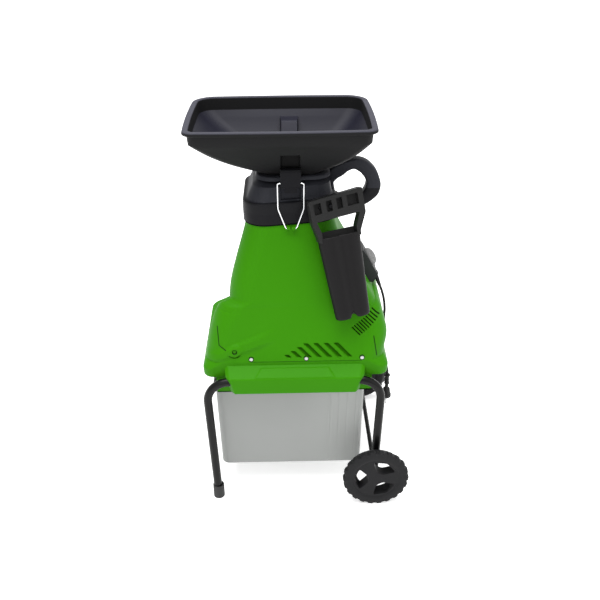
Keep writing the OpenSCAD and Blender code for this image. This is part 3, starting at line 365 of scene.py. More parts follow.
class Value:
    """Shader socket with arithmetic, so that masks read as formulas."""

    def __init__(self, graph, socket):
        self.graph = graph
        self.socket = socket

    def math(self, operation, *others):
        """Math node on this value and the others."""
        return self.graph.node("ShaderNodeMath", [self, *others], operation=operation)

    def __add__(self, other):
        return self.math("ADD", other)

    def __sub__(self, other):
        return self.math("SUBTRACT", other)

    def __rsub__(self, other):
        return self.math("MULTIPLY", -1.0).math("ADD", other)

    def __mul__(self, other):
        return self.math("MULTIPLY", other)

    __radd__ = __add__
    __rmul__ = __mul__

    def abs(self):
        return self.math("ABSOLUTE")

    def max(self, other):
        return self.math("MAXIMUM", other)

    def min(self, other):
        return self.math("MINIMUM", other)

    def hypot(self, other):
        """Length of the vector whose two parts are this value and the other."""
        return (self * self + other * other).math("SQRT")

    def step(self, low, high):
        """Smooth step from 0 at low to 1 at high."""
        return self.graph.node("ShaderNodeMapRange", [self, low, high, 0.0, 1.0],
                               interpolation_type="SMOOTHSTEP")

    def band(self, middle, half, edge):
        """1 within half of the middle, fading to 0 over the next edge."""
        return (self - middle).abs().step(half + edge, half)


class Graph:
    """Node tree of a material or a world, with helpers that add nodes to it."""

    def __init__(self, tree):
        self.tree = tree

    def feed(self, socket, value):
        """Link a Value to a socket, or set the socket to a plain value."""
        if isinstance(value, Value):
            self.tree.links.new(value.socket, socket)
        else:
            socket.default_value = value

    def node(self, kind, values=(), out=0, **settings):
        """New node: its settings first, then its inputs, given in order or by name."""
        node = self.tree.nodes.new(kind)
        for key, value in settings.items():
            setattr(node, key, value)
        for key, value in values.items() if isinstance(values, dict) else enumerate(values):
            self.feed(node.inputs[key], value)
        return Value(self, node.outputs[out]) if node.outputs else None

    def mix(self, factor, a, b):
        """Colour a where factor is 0 and b where it is 1; the node's colours are its inputs 6 and 7."""
        return self.node("ShaderNodeMix", {0: factor, 6: a, 7: b}, out=2, data_type="RGBA")

    def backdrop_rays(self):
        """1 for the rays that show the backdrop: camera, glossy and transmission rays."""
        camera, glossy, through = (self.node("ShaderNodeLightPath", out=f"Is {kind} Ray")
                                   for kind in ("Camera", "Glossy", "Transmission"))
        return camera.max(glossy).max(through)


class Finish(Graph):
    """Material with a Principled surface."""

    def __init__(self, name, color, rough, metallic=0.0, coat=0.0):
        self.material = bpy.data.materials.new(name)
        self.material.use_nodes = True
        super().__init__(self.material.node_tree)
        self.surface = next(n for n in self.tree.nodes if n.type == "BSDF_PRINCIPLED")
        self.color = self.tint = opaque(color)
        for socket, value in (("Base Color", self.color), ("Roughness", rough), ("Metallic", metallic),
                              ("Coat Weight", coat)):
            self.set(socket, value)
        self.place = self.node("ShaderNodeTexCoord", out="Object")
        self.x, self.y, self.z = (self.node("ShaderNodeSeparateXYZ", [self.place], out=axis)
                                  for axis in "XYZ")

    def set(self, name, value):
        """Feed the surface's socket of that name."""
        self.feed(self.surface.inputs[name], value)

    def noise(self, scale, detail=2.0):
        """Noise from 0 to 1, with scale cells to a metre."""
        return self.node("ShaderNodeTexNoise", {"Vector": self.place, "Scale": scale, "Detail": detail})

    def bump(self, height, strength, distance):
        """Bump of the surface by a height from 0 to 1, over a distance in metres."""
        self.set("Normal", self.node("ShaderNodeBump", {"Strength": strength, "Distance": distance,
                                                        "Height": height}))

    def blend(self, mask, color):
        """Turn the base colour to color where mask is 1."""
        self.tint = self.mix(mask, self.tint, opaque(color))
        self.set("Base Color", self.tint)

    def shaded(self, mask, shade):
        """Turn the base colour to the plain colour times shade where mask is 1."""
        self.blend(mask, [c * shade for c in self.color[:3]])

    def segment(self, x0, z0, x1, z1):
        """Distance in x and z to a segment, in metres."""
        dx, dz = x1 - x0, z1 - z0
        t = ((self.x - x0) * dx + (self.z - z0) * dz) * (1 / (dx * dx + dz * dz))
        t = t.max(0.0).min(1.0)
        return (self.x - x0 - t * dx).hypot(self.z - z0 - t * dz)

    def ring(self, x, z, r, half):
        """1 on a ring in x and z of radius r and half width half, in metres."""
        off = ((self.x - x).hypot(self.z - z) - r).abs()
        return off.step(half, half * 0.5)

def moulded(name, color, rough, grain=None, specular=0.25):
    """Moulded plastic: a fine grain, and a slow drift of tone and gloss."""
    g = Finish(name, color, rough)
    drift = g.noise(6.0)
    g.shaded(drift * 0.5, 0.86)
    g.set("Roughness", drift * 0.12 + (rough - 0.06))
    g.set("Specular IOR Level", specular)
    strength = bpy.context.scene.shredder_finish.grain if grain is None else grain
    g.bump(g.noise(1400.0), strength, 0.0004)
    return g


def trunk_plastic(color):
    """Green moulding with dark joint lines on its near face and a dark ring round every screw."""
    g = moulded("trunk_green", color, 0.5, specular=0.08)
    near = (g.y * -1.0).step(0.1, 0.12)
    foot = size("trunk_z") * MM
    boss_x, boss_z = BOSS * MM
    mask = g.segment(-0.137, 0.4222, 0.143, 0.4222).step(0.0011, 0.0006)
    for line in ((-0.22, 0.51, -0.2166, 0.4658), (-0.2166, 0.4658, -0.2, 0.4561),
                 (0.1727, 0.4812, 0.1811, 0.4301)):
        mask = mask.max(g.segment(*line).step(0.0016, 0.0009))
    for line in vent_lines():
        mask = mask.max(g.segment(*(v * MM for v in line)).step(0.0017, 0.0011))
    for x in (-0.137, 0.002, 0.143):
        mask = mask.max(g.ring(x, 0.43, 0.0056, 0.0016))
    mask = mask.max(g.ring(boss_x, boss_z, 0.0052, 0.0016))
    under = g.ring(boss_x, boss_z, 0.0168, 0.002) * g.z.step(boss_z - 0.0095, boss_z - 0.0125)
    # Painted shade: the vents, the counterbore rings round the screws and the curved slot under the boss are
    # darkened together with the joint lines.
    g.shaded(mask.max(under) * near, 0.1)
    # Painted shade inside the seven louvre slots.
    rise = g.z - foot - LOUVRE_Z * MM
    louvre_shade = None
    for start, high in louvres():
        along = g.x - start * MM + rise
        slot = along.band(0.0065, 0.0054, 0.0008) * rise.band(high * MM / 2, high * MM / 2, 0.0006)
        louvre_shade = slot if louvre_shade is None else louvre_shade.max(slot)
    g.shaded(louvre_shade * near, 0.58)
    return g


def hopper_plastic(color):
    """Black moulding, darker in the latch pockets and lighter on the lip."""
    g = moulded("hopper_black", color, 0.55, specular=0.1)
    # Painted shade in the latch pockets.
    pocket_shade = g.x.band(LATCH_X * MM, 0.0205, 0.002) * g.z.band(0.924, 0.0175, 0.002)
    g.shaded(pocket_shade * g.y.abs().step(0.1045, 0.1025), 0.05)
    # Painted bluish highlight on the top face of the lip.
    g.blend(g.z.step(1.0015, 1.0035), (0.036, 0.036, 0.047))
    return g


def lining_plastic(color):
    """Hopper's inside: bluish black, lighter on the far block behind the latch."""
    g = moulded("hopper_lining", color, 0.5, specular=0.16)
    # Painted highlight on the face of the far block behind the latch.
    block_highlight = g.x.band(LATCH_X * MM, 0.0195, 0.001) * g.z.band(0.93, 0.0275, 0.001)
    g.blend(block_highlight * g.y.step(0.095, 0.098) * g.y.step(0.1005, 0.0995), (0.09, 0.09, 0.11))
    return g


def collar_plastic(color):
    """Black moulding, lighter and bluer above the step."""
    g = moulded("collar_black", color, 0.5, specular=0.12)
    # Painted sheen: the slope above the step and the carry handle are made lighter and bluer.
    g.blend(g.z.step(0.8165, 0.8195), (0.024, 0.025, 0.031))
    return g


def bin_plastic(color):
    """Milky plastic, a little lighter towards the wheels."""
    g = moulded("bin_milky", color, 0.42, grain=0.04, specular=0.2)
    # Painted light: the side by the wheels is made lighter against the shade of the wheel and tube.
    g.shaded(g.x.step(-0.05, 0.16), 1.2)
    return g


def metal(name, color, rough):
    """Bare metal with fine scratches in its gloss."""
    g = Finish(name, color, rough, metallic=1.0)
    g.set("Roughness", g.noise(220.0, 4.0) * 0.16 + (rough - 0.08))
    return g


def painted(name, color, rough):
    """Powder coat on tube: an even colour and a slight orange-peel surface."""
    g = Finish(name, color, rough, coat=0.06)
    g.set("Specular IOR Level", 0.14)
    g.bump(g.noise(420.0), 0.1, 0.0005)
    return g


MATERIALS = {}


def make_materials():
    """All materials of the part, by name."""
    green, black = tint("green"), tint("black")
    MATERIALS.update({
        "trunk": trunk_plastic(green),
        "base": moulded("base_green", green, 0.5, specular=0.08),
        "black": moulded("black_moulding", black, 0.55, specular=0.08),
        "collar": collar_plastic((0.006, 0.006, 0.0075)),
        "hopper": hopper_plastic((0.009, 0.009, 0.0095)),
        # The lining's bluish colour is a painted sheen on the hopper's black.
        "lining": lining_plastic((0.008, 0.008, 0.0145)),
        "plunger": moulded("plunger_black", (0.006, 0.0055, 0.006), 0.5, specular=0.14),
        "grip": moulded("grip_black", (0.017, 0.017, 0.017), 0.5, specular=0.14),
        "wheel": moulded("wheel_black", (0.013, 0.013, 0.014), 0.55, specular=0.12),
        "foot": moulded("foot_rubber", (0.03, 0.03, 0.03), 0.62),
        "switch": moulded("switch_grey", (0.012, 0.014, 0.014), 0.5),
        "knob": moulded("knob_grey", (0.235, 0.235, 0.235), 0.42),
        "lead": moulded("lead_rubber", (0.004, 0.004, 0.004), 0.5),
        "bin": bin_plastic(tint("bin_tint")),
        "tube": painted("tube_coat", (0.0025, 0.0025, 0.0025), 0.32),
        "motor": painted("motor_coat", (0.05, 0.05, 0.055), 0.4),
        "steel": metal("machined_steel", (0.56, 0.57, 0.58), 0.34),
        "blade": metal("ground_steel", (0.66, 0.67, 0.68), 0.22),
        "screw": metal("screw_zinc", (0.4, 0.4, 0.41), 0.36),
        "wire": metal("bright_wire", (0.8, 0.81, 0.82), 0.16),
    })


def paint(name):
    """Material of that name."""
    return MATERIALS[name].material


# Frame

def loop_path():
    """Axis of a tube loop in x and z: two leaning legs, two bends and the run between them.

    A leg leans out by an angle, so its bend turns by a quarter and that angle about a centre r below the run.
    """
    foot, axle, top, r = size("foot_x"), size("axle_x"), size("frame_top"), size("bend_r")
    lean, hub = bpy.context.scene.shredder_shape.leg_lean, size("wheel_d") / 2
    reach = r * math.tan(math.pi / 4 + lean / 2)
    a = np.linspace(-lean, np.pi / 2, 18)
    bend = r * np.stack([np.cos(a), np.sin(a)], -1)
    left = np.array([foot - top * math.tan(lean) + reach, top - r]) + bend * [-1, 1]
    right = np.array([axle + (top - hub) * math.tan(lean) - reach, top - r]) + bend[::-1]
    up = np.array([math.sin(lean), math.cos(lean)])
    return np.concatenate([[[foot, 0] + 6 * up * [-1, 1]], left, right, [[axle, hub] - 22 * up]])


def build_frame():
    """Two bent tubes and their foot caps."""
    path = loop_path()
    for side, y in (("near", -size("frame_y")), ("far", size("frame_y"))):
        line = np.stack([path[:, 0], np.full(len(path), y), path[:, 1]], -1)
        piece(f"{side}_tube", [swept(line, disc(size("tube_d"), 32), (0, 1, 0))], paint("tube"), "root",
              [f"{side}_frame_tube"])
        profile = soften([[0, 0], [15, 0], [15, 33], [14.2, 34], [14.2, 36], [15, 37], [15, 40],
                          [11.1, 40], [11.1, 30], [0, 30]], 2.5)
        cap = moved(lathe(profile), Matrix.Translation((size("foot_x"), y, 0)))
        piece(f"{side}_foot", [cap], paint("foot"), "root", [f"{side}_foot_cap"])


# Housings

def trunk_rise(z):
    """Share of the way from the trunk's foot to its top."""
    return (z - size("trunk_z")) / (size("trunk_top") - size("trunk_z"))


def shoulder(z):
    """Share of the motor side's shoulder left at height z: sqrt(1 - (1 - d)^2).

    d is the drop below the shoulder's top, 126 above the trunk's foot, over 104; past 1 the share is full.
    """
    drop = (size("trunk_z") + 126 - z) / 104
    return np.sqrt(np.clip(1 - np.maximum(0, 1 - drop) ** 2, 0, 1))


HIP_RISE = 154


def hip(z):
    """Share of the foot side's shoulder left at height z: s^0.4, with s from 0 at its top to 1 at the skirt.

    It fades in over its first 16 mm.
    """
    top = size("trunk_z") + HIP_RISE
    return np.clip((top - z) / (top - SKIRT_Z), 0, 1) ** 0.4 * smooth(top - z, 0, 16)


def soft_ramp(v, bend):
    """Ramp that is 0 below 0 and v above it, with a soft bend: (v + sqrt(v^2 + bend^2)) / 2."""
    return (v + np.sqrt(v * v + bend * bend)) / 2


def foot_side(z, k):
    """X of the trunk's foot side at height z with share k of its shoulder.

    It slopes in by 0.3 to the collar above a soft bend, and is upright below.
    """
    slope, foot_top = 0.3, COLLAR_Z - 6
    plain = WAIST[0] + soft_ramp(TOP[0] - WAIST[0] - 0.5 - slope * np.maximum(0, foot_top - z), 10)
    return plain + (BASE[0] + 1 - plain) * k


def trunk_levels(z):
    """Levels of the trunk at heights z.

    The motor side is upright at the top and slopes out by 0.56 below a soft knee, 60 under the top.
    The shoulder brings both ends out to the base, and the motor side swells there.
    """
    z = np.asarray(z, float)[:, None]
    t, k = trunk_rise(z), shoulder(z)
    front = WAIST + (TOP - WAIST) * t
    out = np.minimum(WAIST[1], TOP[1] + 0.56 * soft_ramp(size("trunk_top") - 60 - z, 25))
    swell = -13 + 12 * np.exp(-(((z - size("trunk_z") - 54) / 40) ** 2))
    right = out + (BASE[1] + swell - out) * k
    depth = front[:, 3:4] - 6 * np.sin(np.pi * t)
    corner = front[:, 4:] + (BASE[4] - front[:, 4:]) * k
    return np.concatenate([z, foot_side(z, hip(z)), right, front[:, 2:3], depth, corner], 1)


def sink_shoulder(points, levels):
    """Draw the foot end in where its shoulder sinks, by 0.62 per mm towards the far side.

    Between the base and the collar the far half leans in too, by 0.1 per mm.
    The share of the draw falls from 1 at the foot end to 0 at the middle as its sixth power.
    """
    z, y = points[..., 2], points[..., 1]
    left, right = levels[:, 1:2], levels[:, 2:3]
    share = np.clip(((left + right) / 2 - points[..., 0]) / ((right - left) / 2), 0, None)
    sunk = np.minimum(HIP_RISE, 0.62 * np.maximum(0, y + 125))
    lean = 0.1 * np.maximum(0, y + 80) * np.clip(np.minimum((COLLAR_Z - z) / 40, (z - 440) / 120), 0, 1)
    points[..., 0] += (foot_side(z, hip(z + sunk)) - foot_side(z, hip(z)) + lean) * share ** 6
    return points


def louvres():
    """X of the lower end and height of the seven louvres."""
    return [(-47 + 25.5 * k, min(35, 7 + 9.3 * k)) for k in range(7)]


def louvre_depth(x, z):
    """Depth of the slanted louvres at x and z: sheared bands, deeper towards the motor side."""
    depth = np.zeros_like(x)
    rise = z - size("trunk_z") - LOUVRE_Z
    for start, high in louvres():
        along = x - start + rise
        inside = smooth(along, 0, 1.6) * smooth(LOUVRE_W - along, 0, 1.6)
        inside *= smooth(rise, -0.8, 0.8) * smooth(high - rise, -0.8, 0.8)
        depth += inside * (4 + 5 * np.clip(along / LOUVRE_W, 0, 1))
    return depth


def boss_height(x, z):
    """Height of the near face's relief round the boss screw.

    A low dome with a sunk seat, a curved slot under it, and a fender that fades out along the face.
    """
    r = np.hypot(x - BOSS[0], z - BOSS[1])
    dome = 2.2 * smooth(-r, -21, -14) - 3.2 * smooth(-r, -6.5, -5.5)
    slot = 3 * smooth(r, 15, 16) * smooth(-r, -19, -18) * smooth(BOSS[1] - z, 8, 13)
    ridge = 480 + 0.387 * (x + 140)
    crease = 447 + 0.333 * (x + 145)
    fender = 4 * smooth(ridge - z, -8, 6) * smooth(z - crease, -4, 12) * smooth(-62 - x, 0, 70)
    return dome - slot + fender


def vent_lines():
    """Ends x0, z0, x1, z1 of the ten slanted vents round the near corner of the motor side."""
    first = np.array([118.5, size("trunk_z") + 82.5, 137.5, size("trunk_z") + 63.5])
    return [tuple(first + np.array([5.65, 4.35, 5.65, 4.35]) * k) for k in range(10)]


def vent_depth(x, z):
    """Depth of the vents at x and z: 4 within 1 of a vent's line."""
    depth = np.zeros_like(x)
    for x0, z0, x1, z1 in vent_lines():
        dx, dz = x1 - x0, z1 - z0
        t = np.clip(((x - x0) * dx + (z - z0) * dz) / (dx * dx + dz * dz), 0, 1)
        depth += 4 * smooth(-np.hypot(x - x0 - t * dx, z - z0 - t * dz), -1.5, -0.7)
    return depth


def build_trunk():
    """Trunk shell with louvres, vents and a screw boss pressed into it."""
    foot, top = size("trunk_z"), size("trunk_top")
    z = np.concatenate([np.linspace(foot, foot + 54, 54, endpoint=False),
                        np.linspace(foot + 54, foot + 144, 100, endpoint=False),
                        np.linspace(foot + 144, top, 44)])
    levels = trunk_levels(z)
    points = sink_shoulder(plan_rings(levels, (24, 80, 14, 24), (200, 24, 40, 72)), levels)
    x, z = points[..., 0], points[..., 2]
    relief = louvre_depth(x, z) - boss_height(x, z) + vent_depth(x, z)
    points[..., 1] += smooth(-points[..., 1], 100, 130) * relief
    parts = [patch(points)]
    for x in (LATCH_X - 6.5, LATCH_X + 6.5):
        low, high = BAIL_Z - 4.3, BAIL_Z + 4.3
        edge = rounded([(-125, low), (-100, low), (-100, high), (-125, high)], 3.5)
        ear = prism(edge, [], x - 4, x + 4, "yz")
        parts += [ear, flipped(ear)]
    piece("trunk", parts, paint("trunk"), "root", ["trunk_housing"])


def apron():
    """Near apron: a slanted upper face with a raised panel, a fold and an upright lower face.

    The profile in y and z runs along x between slanted ends, whose last 10 mm draw in to a bevel.
    """
    upper = soften([[-187, 414.5], [-222, 391], [-222, 347], [-217, 345.5], [-214, 348], [-214, 380]], 3)
    fine = np.concatenate([np.linspace(upper[0], upper[1], 22, endpoint=False), upper[1:]])
    middle, top_half, low_half = -27, 181, 163
    half = top_half + (low_half - top_half) * np.clip((412 - fine[:, 1:]) / 65, 0, 1)
    ends = np.array([0, 0.4, 9.5, 10.5])
    run = np.linspace(-1, 1, 141)[None]
    x = np.concatenate([-half + ends, (half - 14) * run, half - ends[::-1]], 1)
    draw = np.concatenate([[13, 12, 0.8, 0], np.zeros(run.size), [0, 0.8, 12, 13]])
    y = fine[:, :1] + draw
    z = np.broadcast_to(fine[:, 1:], x.shape)
    width = 101 - 15 * np.clip((z - 391) / 16, 0, 1)
    panel = smooth(width - np.abs(x), -0.8, 0.8) * smooth(408 - z, -0.8, 0.8) * smooth(z, 391.5, 393)
    points = np.stack([x + middle, y - 1.2 * panel, z + 1.8 * panel], -1)
    return patch(points[::-1], wrap=False)


def build_base():
    """Base housing: skirt, two aprons over the tubes, bin rails and deck posts.

    Its near corners are tight, up to the ring where the trunk stands.
    """
    foot = size("trunk_z")
    levels = soft_levels([at(SKIRT_Z + 15, inset(BASE, 3)), at(SKIRT_Z, inset(BASE, 4)),
                          at(SKIRT_Z, inset(BASE, 1)), at(foot - 22, BASE), trunk_levels([foot])[0]], 4)
    tight = np.full((len(levels), 1), 27 / BASE[4])
    tight[-1] = 1
    points = plan_rings(levels, 20, near=tight)
    points[-1:] = sink_shoulder(points[-1:], levels[-1:])
    side = [apron(), block((-228, -186, 330), (170, -182, 397)), block((-228, -186, 330), (170, -169, 333))]
    post = lathe([[0, 391], [10, 391], [10, 455], [0, 455]], 24)
    side += [moved(post, Matrix.Translation((x, -140, 0))) for x in (-160, 150)]
    piece("base", [patch(points), *side, *(flipped(p) for p in side)], paint("base"), "root",
          ["base_housing"])


# Collar and hopper

def build_collar():
    """Collar: an upright band, a step and a slope up to the hopper, with a channel behind each latch."""
    top = size("collar_top")
    low = inset(trunk_levels([COLLAR_Z])[0, 1:], -3.6)
    seat = trunk_levels([size("trunk_top")])[0, 1:]
    levels = soft_levels([
        at(COLLAR_Z + 3, inset(low, 3.2)), at(COLLAR_Z, inset(low, 3)), at(COLLAR_Z, low),
        at(790, inset(seat, -5)),
        at(817, inset(seat, -4.4)), at(818, inset(seat, 5)), at(846, inset((seat + COLLAR_TOP) / 2, 3)),
        at(top - 5, inset(COLLAR_TOP, -3)), at(top, COLLAR_TOP), at(top, inset(NECK, -2)),
        at(top - 12, inset(NECK, -2))], 5, 5)
    outer = int(np.argmax(levels[:, 0]))
    body = np.concatenate([levels[:outer], levels_at((821, 822, 864, 865), levels)])
    body = np.concatenate([body[np.argsort(body[:, 0], kind="stable")], levels[outer:]])
    points = plan_rings(body, 14, (30, 12, 30, 12), LATCH_KNOTS)
    half, low_z, high_z, face_y, deep = 24.2, 821.5, 864.5, 75, 7
    x, y, z = np.moveaxis(points, -1, 0)
    sunk = (np.abs(x - LATCH_X) < half) & (z > low_z) & (z < high_z) & (np.abs(y) > face_y)
    points[..., 1] -= deep * sunk * np.sign(y)
    parts = [patch(points), carry_handle()]
    for x, z in ((38, 808), (64, 811)):
        peg = lathe(soften([[0, 0], [5, 0], [5, 59], [4, 60], [0, 60]], 1), 24)
        parts.append(moved(peg, Matrix.Translation((x, -62, z)) @ Matrix.Rotation(math.pi / 2, 4, "X")))
    piece("collar_shell", parts, paint("collar"), "root", ["collar"])


def carry_handle():
    """Loop handle: between its outer edge and its finger hole each section is a rounded oblong.

    Section: c + a sgn(cos s)|cos s|^p d + b sgn(sin s)|sin s|^p y, with d from the hole to the edge.
    """
    outer = rounded([(54, 846), (66, 868), (104, 887), (134, 894), (160, 886), (183, 862), (196, 826),
                     (190, 798), (158, 772), (120, 765), (80, 770)], 14, 6)
    hole = rounded([(76, 834), (99, 850), (121, 866), (131, 865), (151, 847), (158, 830), (150, 806),
                    (128, 797), (80, 802)], 5, 4)
    centre = np.array([122.0, 830])
    angles = np.linspace(-np.pi, np.pi, 240, endpoint=False)

    def ray(loop):
        """Distance from the centre to a loop at each angle, read off between its points."""
        away = loop - centre
        a = np.arctan2(away[:, 1], away[:, 0])
        order = np.argsort(a)
        return np.interp(angles, a[order], np.hypot(*away[order].T), period=2 * np.pi)

    way = np.stack([np.cos(angles), np.sin(angles)], -1)
    far, close = (ray(loop)[:, None] * way + centre for loop in (outer, hole))
    s = np.linspace(0, 2 * np.pi, 28, endpoint=False)
    wide, deep = (np.sign(f(s)) * np.abs(f(s)) ** 0.35 for f in (np.cos, np.sin))
    mid = (far + close)[:, None] / 2 + (far - close)[:, None] / 2 * wide[None, :, None]
    points = np.stack([mid[..., 0], np.broadcast_to(17 * deep, mid.shape[:2]), mid[..., 1]], -1)
    return patch(points[:, ::-1], loop=True)


def build_hopper():
    """Hopper: neck, leaning funnel, upright band and broad lip, with a latch recess on each long side.

    The funnel's share of height is 0.7 t + 0.3 t^3 of its share of reach t, so it stands up towards the band.
    All four sides bow out by 5 (1 - u^2) at the rim, u from -1 to 1 along a side.
    """
    rim_z, seat = size("rim_z"), size("collar_top") + 0.3
    middle, half_w, half_d = size("hopper_x"), size("hopper_w") / 2, size("hopper_d") / 2
    band_z, neck_z = rim_z - 34, seat - 34
    rim = np.array([middle - half_w, middle + half_w, half_d, half_d, 52])
    band, foot = inset(rim, 12), inset(NECK, -6)
    t = np.linspace(0, 1, 25)[:, None]
    funnel_z = seat + 3 + (band_z - seat - 3) * (0.7 * t + 0.3 * t ** 3)
    funnel = np.concatenate([funnel_z, foot + (band - foot) * t], 1)
    marks = (905.6, 906.2, 906.8, 941.8, 942.4, 943.0, 954.4, 955.0)
    outer = np.concatenate([funnel, levels_at(marks, funnel)])
    outer = outer[np.argsort(outer[:, 0])]
    inner = outer[::-1] + np.array([2.6, 3, -3, -3, -3, -3])
    lip = soft_levels([funnel[-1], at(rim_z - 11, inset(band, -1.5)), at(rim_z - 9, inset(rim, 1)),
                       at(rim_z - 6, rim), at(rim_z, inset(rim, 1)), at(rim_z, inset(band, 2)),
                       at(rim_z - 3, inset(band, 2.8)), inner[0]], 2.6)
    below = soft_levels([at(neck_z, NECK), at(seat, NECK), at(seat, foot), outer[0]], 2)
    above = soft_levels([inner[-1], at(seat + 2, inset(NECK, 3)), at(neck_z, inset(NECK, 3))], 3)
    shell = np.concatenate([below[:-1], outer, lip[1:]])
    lining = np.concatenate([inner, above[1:]])
    skins = []
    for levels, shelf, low, high in ((shell, 102, 906, 942.2), (lining, 99, 903.2, 957.2)):
        near = 1 - 0.55 * np.clip((levels[:, :1] - seat) / (band_z - seat), 0, 1)
        points = plan_rings(levels, 18, (44, 16, 44, 16), LATCH_KNOTS, near)
        x, y, z = np.moveaxis(points, -1, 0)
        sunk = (np.abs(x - LATCH_X) < 20.2) & (z > low) & (z < high) & (np.abs(y) > shelf)
        points[..., 1] = np.where(sunk, np.sign(y) * shelf, y)
        full = 5 * smooth(z, 955, rim_z - 20)
        u, v = (points[..., 0] - middle) / half_w, points[..., 1] / half_d
        points[..., 0] += full * u * np.clip(1 - v * v, 0, 1)
        points[..., 1] += full * v * np.clip(1 - u * u, 0, 1)
        skins.append(patch(points))
    ledge = block((LATCH_X - 22, -99, 887), (LATCH_X + 22, -70, 893.3))
    piece("hopper_shell", [skins[0], ledge, flipped(ledge)], paint("hopper"), "root", ["hopper"])
    piece("hopper_lining", skins[1:], paint("lining"), "root", [])


# Bin

def build_bin():
    """Chip bin: leaning walls, rounded floor edge, rolled flange and faint upright flutes."""
    z = size("bin_floor")
    low, high = np.array([-230.0, 150, 163, 163, 18]), np.array([-236.0, 156, 167, 167, 18])
    top = z + 265.3
    outer = soft_levels([at(z, inset(low, 16)), at(z, inset(low, 4)), at(z + 4, low), at(top - 5, high),
                         at(top - 4, inset(high, -5)), at(top, inset(high, -5)), at(top, inset(high, 2.5)),
                         at(z + 8, inset(low, 2.5)), at(z + 2.5, inset(low, 7)),
                         at(z + 2.5, inset(low, 16))], 3)
    points = plan_rings(outer, 10, (230, 40, 60, 40))
    tall = smooth(points[..., 2], z + 20, z + 40) * smooth(-points[..., 1], 160, 163)
    for x, deep in ((62, 0.9), (68, 1.6), (90, 1.2), (112, 1.0), (136, 1.2)):
        points[..., 1] += deep * tall * smooth(-np.abs(points[..., 0] - x), -2.4, -0.6)
    piece("bin", [patch(points, ends="first last")], paint("bin"), "bin", ["collection_bin"])


# Wheels

def wheel():
    """Wheel about the y axis, outer face at y = -35: a rim with a tread and a face with three windows.

    Tread radius: r - 3 g at the outer face, with g a rounded square wave of 22 lugs, and drawn in behind it.
    """
    r = size("wheel_d") / 2
    a = np.linspace(0, 2 * np.pi, 352, endpoint=False)
    gap = 1.4 * smooth(-np.cos(22 * a), -0.2, 0.6)
    rows = [(60, -26, 0), (60, -33, 0), (62, -34.6, 0), (70, -35, 0), (r - 5, -34.8, 0), (r - 1, -33.6, 0.8),
            (r, -31, 1), (r, -21, 1), (r - 5, -14, 0.5), (r - 11, -5, 0), (r - 15, -1, 0), (r - 18, 0, 0),
            (54, -1, 0), (50, -4, 0), (50, -10, 0), (58, -20, 0)]
    radius, y, cut = np.array(rows)[:, :, None].transpose(1, 0, 2)
    radius = radius - 3 * cut * gap
    rings = np.stack([radius * np.cos(a), y + 0 * a, radius * np.sin(a)], -1)
    hub = lathe(soften([[0, 0], [18, 0], [18, 26], [16, 29], [8, 29], [7, 27], [0, 27]], 2), 40)
    parts = [patch(rings, loop=True), moved(hub, Matrix.Rotation(math.pi / 2, 4, "X"))]
    windows = []
    for middle in (181, 301, 61):
        corner = [(22, -26), (56, -38), (58, 0), (56, 38), (22, 26)]
        angles = [math.radians(middle + turn) for _, turn in corner]
        windows.append(rounded([(q * math.cos(v), q * math.sin(v)) for (q, _), v in zip(corner, angles)], 7))
    turn = np.linspace(0, 2 * np.pi, 96, endpoint=False)
    edge = 61 * np.stack([np.cos(turn), np.sin(turn)], -1)
    parts.append(prism(edge, windows, 4, 33.5))
    return joined(parts)


def build_wheels():
    """Two wheels, the far one mirrored."""
    y = size("frame_y") + size("tube_d") / 2 + 3
    near = moved(wheel(), Matrix.Translation((size("axle_x"), -y, size("wheel_d") / 2)))
    piece("near_tyre", [near], paint("wheel"), "near_wheel", ["near_wheel"])
    piece("far_tyre", [flipped(near)], paint("wheel"), "far_wheel", ["far_wheel"])


# Latches

def build_latches():
    """Wire bails and the levers that they pull on, on both long sides."""
    half = np.array([(0, LEVER_Z), (31, LEVER_Z), (31, 806), (12.5, BAIL_Z), (3.5, BAIL_Z)])
    x, z = np.concatenate([half[:0:-1] * [-1, 1], half]).T
    tall, deep = LEVER_Z - BAIL_Z, LEVER_Y - BAIL_Y
    line = np.stack([LATCH_X + x, BAIL_Y + deep * (z - BAIL_Z) / tall, z], -1)
    bail = swept(soften(line, 5, 6), disc(3.5, 14), np.array([0, tall, -deep]) / math.hypot(tall, deep))
    edge = [(-117, 901.6), (-121, 895.6), (-121, 861), (-118, 858), (-102.5, 861), (-100.5, 893.6),
            (-93, 893.6), (-100, 901.6)]
    tongue = [(-121, 862), (-124, 847), (-120, 847), (-103.5, 862)]
    lever = [prism(edge, [], LATCH_X - 24, LATCH_X + 24, "yz"),
             prism(tongue, [], LATCH_X - 14.5, LATCH_X + 14.5, "yz")]
    for side, wire, hook in (("near", bail, lever), ("far", flipped(bail), [flipped(p) for p in lever])):
        piece(f"{side}_wire", [wire], paint("wire"), f"{side}_bail", [f"{side}_bail"],
              sharp=60)
        piece(f"{side}_hook", hook, paint("black"), f"{side}_lever", [f"{side}_latch_lever"],
              bevel=1.0)


# Plunger

def lobed(width, depth, n=96):
    """Two lobes side by side: y = d/2 (1 - |u|^3.2)^(1/2.2) (1 - 0.26 exp(-(u / 0.24)^2)), u = 2x / w."""
    a = np.linspace(0, 2 * np.pi, n, endpoint=False)
    u = np.sign(np.cos(a)) * np.abs(np.cos(a)) ** 0.8
    y = depth / 2 * (1 - np.abs(u) ** 3.2) ** (1 / 2.2) * (1 - 0.26 * np.exp(-((u / 0.24) ** 2)))
    return np.stack([width / 2 * u, np.sign(np.sin(a)) * y], -1)


